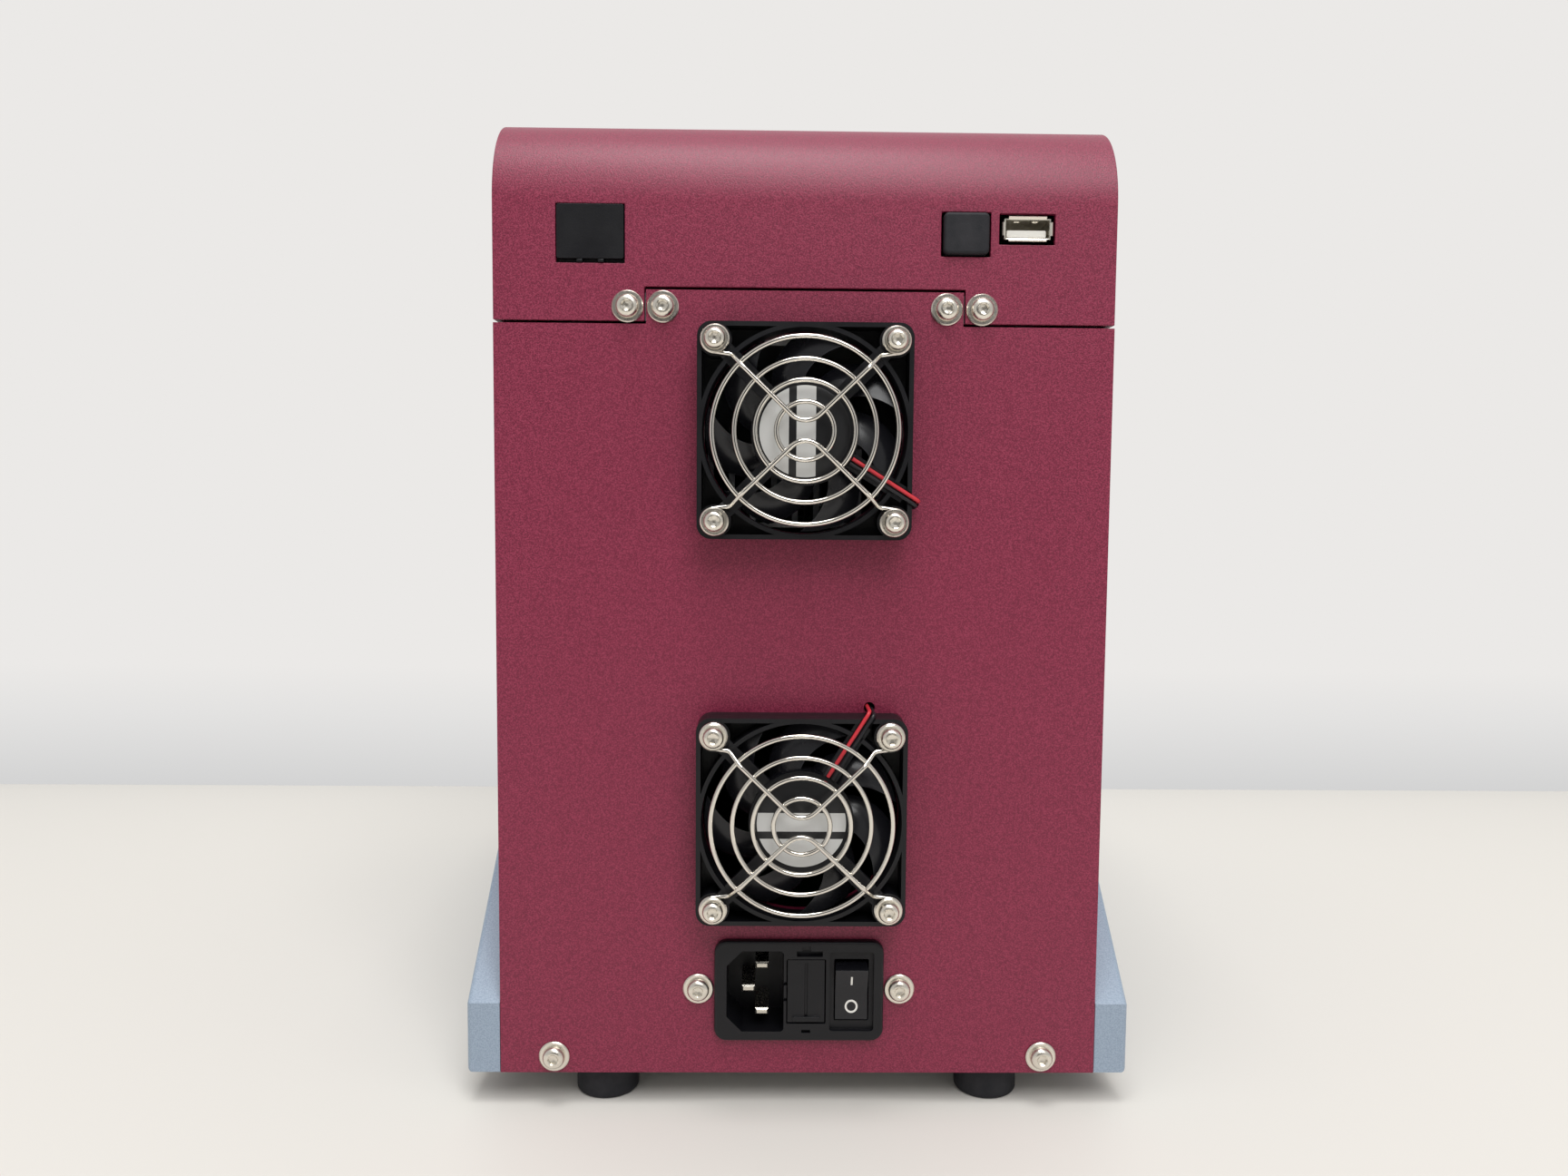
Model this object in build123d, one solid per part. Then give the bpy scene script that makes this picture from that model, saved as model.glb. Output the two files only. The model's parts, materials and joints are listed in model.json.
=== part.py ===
"""A small personal thermal cycler, seen from behind in the photograph.

The body is a burgundy steel tower on four rubber feet. A fixed hood stands on the rear of its deck and
holds the control board with its sockets. The lid hinges on the front of the hood and carries the heated
plate that presses on the tubes. A light blue fascia with the touch screen closes the front, and two light
blue cheeks sweep back and down from it along both sides.

Frame: millimetres, +Z up, +Y to the rear, +X to the right of someone who stands at the front.
The origin is on the bench, under the centre of the whole instrument's outline.
"""
from build123d import *
import math
import os

# Whole instrument
body_width = 176.4
body_depth = 238.0
base_height = 219.8
hood_height = 60.0
foot_height = 10.0
fascia_depth = 50.0
sheet = 2.0
clearance = 0.3
hole_clearance = 0.12

tray_height = 10.0
tray_sheet = 1.5
deck_sheet = 1.5

# Rear panel
tongue_width = 90.0
tongue_height = 10.0
seam_gap = 0.8
hood_radius = 26.0
hood_depth = 78.0
lower_screw_x = 72.3
lower_screw_height = 5.1
hood_screw_x = 50.2
tongue_screw_x = 40.2
join_screw_height = 4.4  # above the seam

# Axial fans and their wire guards
fan_size = 60.0
fan_pitch = 50.0
fan_depth = 10.0
fan_wall = 1.3
fan_duct = 57.2
fan_hub = 30.0
fan_strut = 4.6
fan_plate = 1.8
blade_count = 7
upper_fan_drop = 30.8  # from the seam down to the fan's centre
lower_fan_height = 78.4  # above the body's underside
wire = 1.5
ring_diameters = (16.3, 28.6, 40.3, 52.8)
ring_standoff = 3.4
eye_radius = 3.7
leg_bend = 7.0

# Leads of the fans, in the fan's own frame
lead_angle = 58.0
lead_exit = 31.6
lead_radius = 0.55
lead_strut_drop = 1.0
lead_pitch = 1.5
upper_turn = -90.0
lower_turn = 0.0

# Button-head screws
shank_radius = 2.0
head_radius = 3.8
head_height = 2.2
socket_size = 2.5
washer_radius = 4.5
washer_height = 0.8
fan_head_radius = 3.5
nut_height = 3.2
fan_washer_radius = 3.9

# Mains inlet with fuse drawer and switch
inlet_width = 49.8
inlet_height = 30.1
inlet_corner = 3.6
inlet_rim = 2.4
inlet_step = 1.7
inlet_centre_height = 25.8
inlet_back = 24.0
recess_x = 12.9
recess_width = 16.8
recess_height = 24.3
recess_depth = 17.0
pin_pitch = 14.0
pin_offset = 4.0
drawer_x = -2.1
drawer_width = 11.0
drawer_height = 18.9
rocker_x = -15.5
rocker_bay_width = 13.0
rocker_bay_height = 24.0
rocker_width = 9.6
rocker_height = 16.0
rocker_tilt = 9.0
inlet_screw_x = 29.7

# Sockets in the hood
port_height = 244.4  # above the body's underside
blank_x = 60.7
blank_opening = (19.4, 16.4)
cap_x = -45.3
cap_opening = (14.0, 12.4)
cap_size = (12.9, 11.6)
usb_x = -62.6
usb_opening = (15.8, 8.6)
usb_shell = (13.1, 5.7)
usb_length = 14.0
cap_rise = 0.8
usb_rise = 2.4
board_thickness = 1.6

# Cheeks and fascia
cheek_proud = 10.0
cheek_rear_height = 21.0
cheek_top_drop = 1.8  # from the deck down to the cheek's highest point
cheek_wall = 2.5
fascia_lip = 26.0
fascia_lean = 40.0
fascia_wall = 3.0
screen_width = 108.0
screen_height = 68.0
screen_corner = 4.0
screen_centre = 0.56  # share of the sloping face from its lower edge

# Lid
hinge_radius = 7.0
lid_front_radius = 34.0
lid_wall = 2.5
lid_setback = 2.3  # from the tower's front edge to the lid's front
hinge_x = 58.0
hinge_length = 22.0
hinge_pin_radius = 2.0
running = 0.05

# Latch
latch_width = 44.0
latch_height = 30.0
latch_bay = 17.0
latch_pin_radius = 1.5
strike_reach = 5.6  # from the pin to the strike's edge
hook_width = 18.0

# Sample block, heat sink and heated plate
well_columns = 4
well_rows = 3
well_pitch = 14.0
well_mouth = 8.2
well_bottom = 5.0
well_depth = 15.0
well_wall = 1.2
block_margin = 5.0
block_height = 18.0
block_proud = 2.0
block_front = 155.0  # centre of the block from the back panel
peltier_height = 3.6
sink_width = 112.0
sink_depth = 108.0
sink_base = 9.0
sink_fin_height = 46.0
fin_count = 15
fin_thickness = 2.2
plate_size = (82.0, 60.0)
plate_height = 8.0
plate_gap = 9.0  # from the block to the heated plate
plate_travel = 3.0
spring_gap = 10.0

# Feet
foot_radius = 9.4
foot_x = 58.0
foot_rear_inset = 12.4
foot_front_inset = 262.0

# Placing along Y: the outline runs from the fascia's lip to the legs of the wire guards.
rear_stack = fan_depth + ring_standoff + 1.35 * wire
overall_front = body_depth + fascia_depth
panel_y = (overall_front - rear_stack) / 2
upper_fan_height = base_height - upper_fan_drop
floor_z = foot_height
seam_z = floor_z + base_height
top_z = seam_z + hood_height
hood_front_y = panel_y - hood_depth
hinge_y = hood_front_y - hinge_radius - clearance - 0.4
hinge_z = top_z - hinge_radius
lid_bottom_z = seam_z + 1.2
deck_top_z = seam_z - 1.0
half_width = body_width / 2
cheek_x = half_width + cheek_proud
front_y = panel_y - overall_front
block_y = panel_y - block_front
block_top_z = deck_top_z + block_proud
plate_bottom_z = block_top_z + plate_gap


def slab(x0, x1, y0, y1, z0, z1):
    """A box between two corners."""
    return Pos((x0 + x1) / 2, (y0 + y1) / 2, (z0 + z1) / 2) * Box(abs(x1 - x0), abs(y1 - y0), abs(z1 - z0))


def rear_slab(x, z, width, height, y0, y1, corner=0.0):
    """A plate seen from the rear, centred on x and z, with rounded corners if asked."""
    outline = RectangleRounded(width, height, corner) if corner else Rectangle(width, height)
    face = Plane(origin=(x, min(y0, y1), z), x_dir=(-1, 0, 0), z_dir=(0, 1, 0)) * outline
    return extrude(face, amount=abs(y1 - y0))


def rear_disc(x, z, radius, y0, y1):
    """A round bar along Y."""
    return Pos(x, (y0 + y1) / 2, z) * Rot(90, 0, 0) * Cylinder(radius, abs(y1 - y0))


def across(x, y, z, radius, length):
    """A round bar along X, centred on the point."""
    return Pos(x, y, z) * Rot(0, 90, 0) * Cylinder(radius, length)


def upright(x, y, radius, z0, z1):
    """A round bar along Z."""
    return Pos(x, y, (z0 + z1) / 2) * Cylinder(radius, abs(z1 - z0))


def side_face(points, rounds=()):
    """A face in the YZ plane from its corners, with (corner index, radius) pairs rounded."""
    face = make_face(Plane.YZ * Polyline(*points, close=True))
    for index, radius in rounds:
        y, z = points[index]
        corner = min(face.vertices(), key=lambda v: (v.Y - y) ** 2 + (v.Z - z) ** 2)
        face = fillet(corner, radius)
    return face


def side_extrude(face, x0, x1):
    """A side profile carried across from x0 to x1."""
    return Pos(x0, 0, 0) * extrude(face, amount=x1 - x0, dir=(1, 0, 0))


def several(solids):
    """Separate solids as one node."""
    return Compound(children=[s for item in solids for s in item.solids()])


def button_screw(x, y, z, length, radius=head_radius):
    """A button-head screw along Y whose head stands outwards from y, with a hexagon socket."""
    head = Cylinder(radius, head_height, align=(Align.CENTER, Align.CENTER, Align.MIN))
    head = fillet(head.edges().sort_by(Axis.Z)[-1], head_height * 0.7)
    hexagon = RegularPolygon(socket_size / 2, 6, major_radius=False)
    socket = Pos(0, 0, head_height * 0.35) * extrude(hexagon, 3)
    shank = Cylinder(shank_radius, length, align=(Align.CENTER, Align.CENTER, Align.MAX))
    return Pos(x, y, z) * Rot(-90, 0, 0) * (head - socket + shank)


def rear_washer(x, y, z, radius=washer_radius):
    """A flat washer whose inner face lies on y."""
    outer = rear_disc(x, z, radius, y, y + washer_height)
    return outer - rear_disc(x, z, shank_radius + hole_clearance, y - 1, y + washer_height + 1)


def fan_corners(height):
    """The four screw centres of a fan, as (x, z)."""
    return [(sx * fan_pitch / 2, floor_z + height + sz * fan_pitch / 2) for sx in (1, -1) for sz in (1, -1)]


def panel_screw_points():
    """(x, z) of each screw in the back panel and the hood that isn't a fan's."""
    points = []
    for side in (1, -1):
        points.append((side * lower_screw_x, floor_z + lower_screw_height))
        points.append((side * inlet_screw_x, floor_z + inlet_centre_height))
        points.append((side * tongue_screw_x, seam_z + join_screw_height))
        points.append((side * hood_screw_x, seam_z + join_screw_height))
    return points


def cut_holes(solid, points, y0, y1, radius=shank_radius + hole_clearance):
    """Round holes along Y at each (x, z), by default with clearance round a screw."""
    for x, z in points:
        solid -= rear_disc(x, z, radius, y0, y1)
    return solid


def at_block(width, depth, z0, z1):
    """A box centred over the sample block."""
    return slab(-width / 2, width / 2, block_y - depth / 2, block_y + depth / 2, z0, z1)


def lead_hole(height, turn):
    """(x, z) where a fan's two leads pass through the back panel."""
    x, y, z = lead_point(lead_exit / math.sin(math.radians(lead_angle)), 0, 0.0)
    a = math.radians(turn)
    return (x * math.cos(a) + z * math.sin(a), floor_z + height - x * math.sin(a) + z * math.cos(a))


def back_panel():
    """Flat rear sheet with the fan openings, the inlet cut-out and the tongue that rises into the hood."""
    inner = panel_y - sheet
    sheet_part = slab(-half_width, half_width, inner, panel_y, floor_z, seam_z - seam_gap / 2)
    tongue_top = seam_z + tongue_height - seam_gap
    sheet_part += slab(-tongue_width / 2, tongue_width / 2, inner, panel_y, seam_z - seam_gap, tongue_top)
    for height in (upper_fan_height, lower_fan_height):
        sheet_part -= rear_disc(0, floor_z + height, fan_duct / 2, inner - 1, panel_y + 1)
        sheet_part = cut_holes(sheet_part, fan_corners(height), inner - 1, panel_y + 1)
    gap = 2 * inlet_step - 0.4
    sheet_part -= rear_slab(0, floor_z + inlet_centre_height, inlet_width - gap, inlet_height - gap,
                            inner - 1, panel_y + 1, inlet_corner - gap / 2)
    holes = [lead_hole(upper_fan_height, upper_turn), lead_hole(lower_fan_height, lower_turn)]
    grommet = lead_pitch / 2 + lead_radius + clearance
    sheet_part = cut_holes(sheet_part, holes, inner - 1, panel_y + 1, grommet)
    own = [p for p in panel_screw_points() if abs(abs(p[0]) - hood_screw_x) > 1]
    return cut_holes(sheet_part, own, inner - 1, panel_y + 1)


def side_panel():
    """The +X side sheet of the tower, with a row of air slots low down under the cheek's top line."""
    front = panel_y - body_depth
    rear = panel_y - sheet - 0.05
    panel = slab(half_width - sheet, half_width, front, rear, floor_z, seam_z - seam_gap / 2)
    for i in range(6):
        y = panel_y - 60 - i * 9
        panel -= slab(half_width - sheet - 1, half_width + 1, y, y + 3, floor_z + 178, floor_z + 206)
    return panel


def base_tray():
    """Folded steel floor with four upstands; the back panel, sides and fascia screw to them."""
    front = front_y + fascia_wall + clearance
    x = half_width - sheet - 0.1
    y = panel_y - sheet - 0.05
    height = tray_height
    tray = slab(-x, x, front, y, floor_z, floor_z + height)
    tray -= slab(-x + 1.5, x - 1.5, front + 1.5, y - 1.5, floor_z + 1.5, floor_z + height + 1)
    for i in range(9):
        vent_y = front + 60 + i * 12
        tray -= slab(-40, 40, vent_y, vent_y + 4, floor_z - 1, floor_z + 3)
    lower = [(s * lower_screw_x, floor_z + lower_screw_height) for s in (1, -1)]
    tray = cut_holes(tray, lower, y - 3, y + 1)
    for fx, fy in foot_points():
        tray -= upright(fx, fy, shank_radius + hole_clearance, floor_z - 1, floor_z + 3)
    return tray


def foot_points():
    """(x, y) of the four feet."""
    return [(sx * foot_x, panel_y - inset) for sx in (1, -1) for inset in (foot_rear_inset, foot_front_inset)]


def rubber_feet():
    """Four round rubber feet with a rounded tread and a counterbore for the screw."""
    feet = []
    for x, y in foot_points():
        foot = upright(x, y, foot_radius, 0, foot_height)
        foot = fillet(foot.edges().sort_by(Axis.Z)[0], 1.2)
        foot -= upright(x, y, 4.2, -1, 3.4)
        foot -= upright(x, y, shank_radius + hole_clearance, 3, foot_height + 1)
        feet.append(foot)
    return several(feet)


def foot_screws():
    """A pan-head screw up through each foot into the tray."""
    screws = []
    for x, y in foot_points():
        screws.append(upright(x, y, 3.6, 1.2, 3.4) + upright(x, y, shank_radius, 3.0, foot_height + 6))
    return several(screws)


def cheek():
    """The +X cheek: a folded cover, tall at the fascia and falling at a steady slope to the rear corner."""
    rear = panel_y - 0.2
    front = panel_y - body_depth
    top = floor_z + cheek_rear_height
    rise = deck_top_z - cheek_top_drop - top
    outline = [(rear, floor_z), (rear, top), (front, top + rise), (front, floor_z)]
    outer = side_extrude(side_face(outline), half_width + 0.2, cheek_x)
    outer = fillet(outer.edges().filter_by(lambda e: abs(e.center().X - cheek_x) < 0.01
                                           and e.center().Y > front + 1), 1.6)
    wall = cheek_wall
    lean = wall * math.hypot(rear - front, rise) / (rear - front)
    inner = [(rear - wall, floor_z - 1), (rear - wall, top - lean + wall * 0.3),
             (front - 1, top + rise - lean), (front - 1, floor_z - 1)]
    return outer - side_extrude(side_face(inner), half_width - 1, cheek_x - wall)


def fascia_points(inset):
    """The fascia's side outline, moved in by inset from its front, top and side depth."""
    top = deck_top_z
    lean_y = front_y + fascia_lean
    slope = math.atan2(top - floor_z - fascia_lip, fascia_lean)
    shift = inset / math.sin(slope)
    back = panel_y - body_depth - clearance
    if not inset:
        lip = (front_y, floor_z + fascia_lip)
        return [(back, floor_z), (front_y, floor_z), lip, (lean_y, top), (back, top)]
    crest = top - inset
    crest_y = lean_y + shift - inset / math.tan(slope)
    return [(back + 1, floor_z - 1), (front_y + inset, floor_z - 1), (front_y + inset, floor_z + fascia_lip),
            (crest_y, crest), (back + 1, crest)]


def fascia_slope():
    """Plane on the sloping front: origin at its lower edge, x to the right, z outwards."""
    top = deck_top_z
    up = Vector(0, fascia_lean, top - floor_z - fascia_lip).normalized()
    out = Vector(1, 0, 0).cross(up)
    return Plane(origin=(0, front_y, floor_z + fascia_lip), x_dir=(1, 0, 0), z_dir=out)


def screen_plane(depth=0.0):
    """Plane at the screen's centre, depth below the sloping front."""
    length = math.hypot(fascia_lean, deck_top_z - floor_z - fascia_lip)
    face = fascia_slope()
    return Plane(origin=face.from_local_coords((0, length * screen_centre, -depth)), x_dir=face.x_dir,
                 z_dir=face.z_dir)


def front_fascia():
    """Moulded front: lip, sloping face with the screen's window, side returns that carry on the cheeks."""
    wall = fascia_wall
    face = side_face(fascia_points(0.0), [(2, 8.0), (3, 8.0)])
    shell = side_extrude(face, -cheek_x, cheek_x)
    shell = fillet(shell.edges().filter_by(lambda e: abs(abs(e.center().X) - cheek_x) < 0.01
                                           and e.center().Y < panel_y - body_depth - clearance - 1
                                           and e.center().Z > floor_z + 0.5), 1.6)
    shell -= side_extrude(side_face(fascia_points(wall)), -cheek_x + wall, cheek_x - wall)
    gap = 2 * clearance
    opening = RectangleRounded(screen_width + gap, screen_height + gap, screen_corner + clearance)
    window = extrude(screen_plane() * opening, 6, both=True)
    return shell - window


def touch_screen():
    """Glass of the touch screen, just below the fascia's face."""
    return extrude(screen_plane(2.4) * RectangleRounded(screen_width, screen_height, screen_corner), 1.8)


def display_module():
    """The display behind the glass: a flat can with its driver board."""
    can = extrude(screen_plane(2.4) * Rectangle(screen_width - 2.0, screen_height - 2.0), -4.2)
    board = extrude(screen_plane(6.6) * Rectangle(screen_width + 8.0, screen_height - 8.0), -1.6)
    return can + board


def deck():
    """Folded steel deck on top of the tower, open over the sample block."""
    x = half_width - sheet - 0.1
    front = panel_y - body_depth
    rear = panel_y - sheet - 0.05
    plate = slab(-x, x, front, rear, deck_top_z - deck_sheet, deck_top_z)
    for side in (1, -1):
        plate += slab(side * x, side * (x - 1.5), front, rear, deck_top_z - 16, deck_top_z - 1)
    wide = well_columns * well_pitch + 2 * block_margin + 1.0
    deep = well_rows * well_pitch + 2 * block_margin + 1.0
    plate -= at_block(wide, deep, deck_top_z - 3, deck_top_z + 1)
    reach = fan_pitch / 2 + 6.0
    plate -= slab(-reach, reach, rear - 4.5, rear + 1, deck_top_z - 3, deck_top_z + 1)
    slot = hook_width / 2 + 2.0
    plate -= slab(-slot, slot, latch_pivot_y() - 4.5, strike_front_y(), deck_top_z - 3, deck_top_z + 1)
    for sx in (1, -1):
        for sy in (1, -1):
            plate -= upright(sx * (sink_width / 2 - 6), block_y + sy * (sink_depth / 2 - 6),
                             1.6 + hole_clearance, deck_top_z - 3, deck_top_z + 1)
    return plate


def hood():
    """Fixed rear hood: a bent cover with a large radius at the top of its back, and end walls."""
    bottom = seam_z + seam_gap / 2
    outline = [(panel_y, bottom), (panel_y, top_z), (hood_front_y, top_z), (hood_front_y, bottom)]
    body = side_extrude(side_face(outline, [(1, hood_radius)]), -half_width, half_width)
    inner = [(panel_y - sheet, bottom - 1), (panel_y - sheet, top_z - sheet),
             (hood_front_y + sheet, top_z - sheet), (hood_front_y + sheet, bottom - 1)]
    inner_x = half_width - sheet
    body -= side_extrude(side_face(inner, [(1, hood_radius - sheet)]), -inner_x, inner_x)
    gap = tongue_width / 2 + seam_gap * 0.6
    body -= slab(-gap, gap, panel_y - sheet - 1, panel_y + 1, bottom - 1, seam_z + tongue_height)
    openings = ((blank_x, floor_z + port_height, blank_opening), (cap_x, socket_z(), cap_opening),
                (usb_x, usb_z(), usb_opening))
    for x, z, size in openings:
        body -= rear_slab(x, z, size[0], size[1], panel_y - sheet - 1, panel_y + 1)
    own = [p for p in panel_screw_points() if abs(abs(p[0]) - hood_screw_x) < 1]
    body = cut_holes(body, own, panel_y - sheet - 1, panel_y + 1)
    for side in (1, -1):
        reach = hinge_length + 2.0
        body -= slab(side * hinge_x - reach / 2, side * hinge_x + reach / 2, hood_front_y - 1,
                     hood_front_y + sheet + 1, hinge_z - 4.5, hinge_z - 0.1)
    return body


def join_brackets():
    """A plate inside each corner of the seam; the hood's screw and the panel's screw both go into it."""
    pair = []
    middle = (hood_screw_x + tongue_screw_x) / 2
    inner = panel_y - sheet
    for side in (1, -1):
        plate = slab(side * middle - 11, side * middle + 11, inner - 3, inner, seam_z + 0.7, seam_z + 8.6)
        points = [(side * x, seam_z + join_screw_height) for x in (hood_screw_x, tongue_screw_x)]
        pair.append(cut_holes(plate, points, inner - 4, inner + 1))
    return several(pair)


def panel_screws():
    """Button-head screws of the back panel and the hood."""
    return several([button_screw(x, panel_y + washer_height, z, 8.0) for x, z in panel_screw_points()])


def panel_washers():
    return several([rear_washer(x, panel_y, z) for x, z in panel_screw_points()])


def fan_frame(height, turn):
    """Square fan housing: thin outer wall, round duct, four screw bosses, four struts and the motor plate."""
    face_y = panel_y + fan_depth
    outer = rear_slab(0, 0, fan_size, fan_size, panel_y, face_y, 4.0)
    hollow = fan_size - 2 * fan_wall
    body = outer - rear_slab(0, 0, hollow, hollow, panel_y - 1, face_y + 1, 2.8)
    body += rear_disc(0, 0, fan_duct / 2 + 1.2, panel_y, face_y) & outer
    half = fan_pitch / 2
    corners = [(sx * half, sz * half) for sx in (1, -1) for sz in (1, -1)]
    for x, z in corners:
        body += rear_disc(x, z, 4.6, panel_y, face_y) & outer
    body -= rear_disc(0, 0, fan_duct / 2, panel_y - 1, face_y + 1)
    strut_y = face_y - fan_plate
    rim = rear_slab(0, 0, fan_size - fan_wall, fan_size - fan_wall, panel_y, face_y, 3.4)
    for angle in (45, 135, 315):
        strut = slab(fan_hub / 2 - 2, 34.0, strut_y, face_y - 0.2, -fan_strut / 2, fan_strut / 2)
        body += Rot(0, angle, 0) * strut
    lead_strut = slab(fan_hub / 2 - 1, 33.0, strut_y, face_y - lead_strut_drop, -fan_strut / 2, fan_strut / 2)
    body += (Rot(0, 180 + lead_angle, 0) * lead_strut) & rim
    body += rear_disc(0, 0, fan_hub / 2, strut_y, face_y)
    body += rear_disc(0, 0, 3.4, face_y - 4.0, face_y)
    body -= rear_disc(0, 0, 1.5 + running, panel_y + 1, face_y - 1)
    channel = slab(fan_hub / 2 + 0.1, 42.0, face_y - lead_strut_drop, face_y + 1, -1.7, 1.7)
    body -= Rot(0, 180 + lead_angle, 0) * channel
    body = cut_holes(body, corners, panel_y - 1, face_y + 1)
    return Pos(0, 0, floor_z + height) * Rot(0, turn, 0) * body


def fan_rotor(height):
    """Hub cup on its shaft, with curved blades pitched against the air."""
    z = floor_z + height
    cup_y0 = panel_y + 1.0
    cup_y1 = panel_y + fan_depth - fan_plate - 0.6
    cup = rear_disc(0, z, fan_hub / 2 - 0.2, cup_y0, cup_y1)
    cup -= rear_disc(0, z, fan_hub / 2 - 1.4, cup_y0 + 1.4, cup_y1 + 1)
    blades = []
    tip = fan_duct / 2 - 0.8
    middle = (cup_y0 + cup_y1) / 2
    for i in range(blade_count):
        arc = CenterArc((0, 0), 13.0, 52, 62)
        strip = offset(arc, amount=0.55, side=Side.BOTH)
        start = Plane(origin=(fan_hub / 2 - 2.5, middle, z), x_dir=(0, 0, 1), z_dir=(1, 0, 0))
        strip = start * Pos(0, -12.0) * make_face(strip)
        blade = extrude(strip, amount=tip)
        blade = Pos(0, 0, z) * Rot(0, 360 / blade_count * i + 12, 0) * Pos(0, 0, -z) * blade
        blades.append(blade)
    fence = rear_disc(0, z, tip, cup_y0, cup_y1) - rear_disc(0, z, fan_hub / 2 - 0.7, cup_y0 - 1, cup_y1 + 1)
    rotor = cup
    for blade in blades:
        rotor += blade & fence
    return rotor + rear_disc(0, z, 1.5, cup_y0 + 1, cup_y1 + 1.0)


def wire_ring(diameter, z, y):
    """A closed ring of wire around the fan's axis, with a six-sided section."""
    start = Plane(origin=(diameter / 2, y, z), x_dir=(1, 0, 0), z_dir=(0, 0, 1))
    section = start * RegularPolygon(wire / 2, 6)
    return revolve(section, axis=Axis((0, y, z), (0, 1, 0)), revolution_arc=360)


def guard_path(points, radius):
    """Wire swept along points joined by arcs."""
    path = FilletPolyline(*points, radius=radius)
    section = Plane(origin=path @ 0, z_dir=path % 0) * RegularPolygon(wire / 2, 8)
    return sweep(section, path=path)


def fan_guard(height):
    """Wire finger guard: four rings, two bent legs over them and an open eye round each screw."""
    z = floor_z + height
    eye_y = panel_y + fan_depth + wire / 2
    ring_y = panel_y + fan_depth + ring_standoff
    leg_y = ring_y + wire * 0.85
    half = fan_pitch / 2
    guard = wire_ring(ring_diameters[0], z, ring_y)
    for diameter in ring_diameters[1:]:
        guard += wire_ring(diameter, z, ring_y)
    knee = half - 2.4
    low = half - eye_radius
    for side in (1, -1):
        start = (side * knee, leg_y, z + side * low * 0.985)
        end = (-side * low * 0.985, leg_y, z + side * knee)
        guard += guard_path([start, (0, leg_y, z + side * 0.3), end], leg_bend)
    for turn in range(4):
        step = [(half, eye_y, low), (knee, eye_y, low), (knee - 1.6, leg_y, low - 1.6)]
        screw = Plane(origin=(half, eye_y, half), x_dir=(1, 0, 0), z_dir=(0, -1, 0))
        eye = screw * CenterArc((0, 0), eye_radius, -90, 265)
        section = Plane(origin=eye @ 0, z_dir=eye % 0) * RegularPolygon(wire / 2, 8)
        piece = guard_path(step, 1.0) + sweep(section, path=eye)
        guard += Pos(0, 0, z) * Rot(0, 90 * turn, 0) * piece
    return guard


def fan_screws():
    y = panel_y + fan_depth + wire + washer_height
    points = fan_corners(upper_fan_height) + fan_corners(lower_fan_height)
    return several([button_screw(x, y, z, fan_depth + wire + 5.0, fan_head_radius) for x, z in points])


def fan_washers():
    y = panel_y + fan_depth + wire
    points = fan_corners(upper_fan_height) + fan_corners(lower_fan_height)
    return several([rear_washer(x, y, z, fan_washer_radius) for x, z in points])


def fan_nuts():
    """A hexagon nut on each fan screw behind the back panel."""
    nuts = []
    for x, z in fan_corners(upper_fan_height) + fan_corners(lower_fan_height):
        plane = Plane(origin=(x, panel_y - sheet, z), x_dir=(1, 0, 0), z_dir=(0, -1, 0))
        nut = extrude(plane * RegularPolygon(3.5, 6, major_radius=False), nut_height)
        nuts.append(cut_holes(nut, [(x, z)], panel_y - sheet - 4, panel_y - sheet + 1))
    return several(nuts)


def inlet_plane_z():
    return floor_z + inlet_centre_height


def inlet_body():
    """Moulded inlet: rim, mains recess with two cut corners, drawer bay and switch bay."""
    z = inlet_plane_z()
    outer_y = panel_y + inlet_rim
    body = rear_slab(0, z, inlet_width, inlet_height, panel_y, outer_y, inlet_corner)
    body = fillet(body.edges().filter_by(lambda e: abs(e.center().Y - outer_y) < 0.01), 0.8)
    step = inlet_step
    body += rear_slab(0, z, inlet_width - 2 * step, inlet_height - 2 * step, panel_y - inlet_back, panel_y,
                      inlet_corner - step)
    bay = rear_slab(recess_x, z, recess_width, recess_height, outer_y - recess_depth, outer_y + 1, 1.2)
    for side in (1, -1):
        corner = Pos(recess_x + recess_width / 2, outer_y - recess_depth / 2, z + side * recess_height / 2)
        bay -= corner * Rot(0, 45, 0) * Box(6.4, recess_depth + 4, 6.4)
    body -= bay
    body -= rear_slab(drawer_x, z, drawer_width + 0.6, drawer_height + 0.6, panel_y - 19.4, outer_y + 1, 0.4)
    body -= rear_slab(drawer_x - 1.0, z + drawer_height / 2 + 1.9, 7.6, 1.6, outer_y - 2.0, outer_y + 1)
    body -= rear_slab(drawer_x, z + drawer_height / 2 + 3.4, 2.6, 1.4, outer_y - 1.2, outer_y + 1)
    body -= rear_slab(drawer_x, z - drawer_height / 2 - 2.6, 2.6, 1.0, outer_y - 1.2, outer_y + 1)
    for side in (1, -1):
        notch_x = (recess_x - recess_width / 2 + drawer_x + drawer_width / 2) / 2
        body -= rear_slab(notch_x, z + side * 2.4, 2.2, 1.0, outer_y - 1.6, outer_y + 1)
    body -= rear_slab(rocker_x, z, rocker_bay_width, rocker_bay_height, outer_y - 1.6, outer_y + 1, 1.0)
    body -= rear_slab(rocker_x, z, rocker_width + 0.6, rocker_height + 2.6, panel_y - 15.0, outer_y, 0.4)
    body -= across(rocker_x, panel_y - 3.0, z, 1.5 + running, rocker_width + 3.0)
    return body


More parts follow.
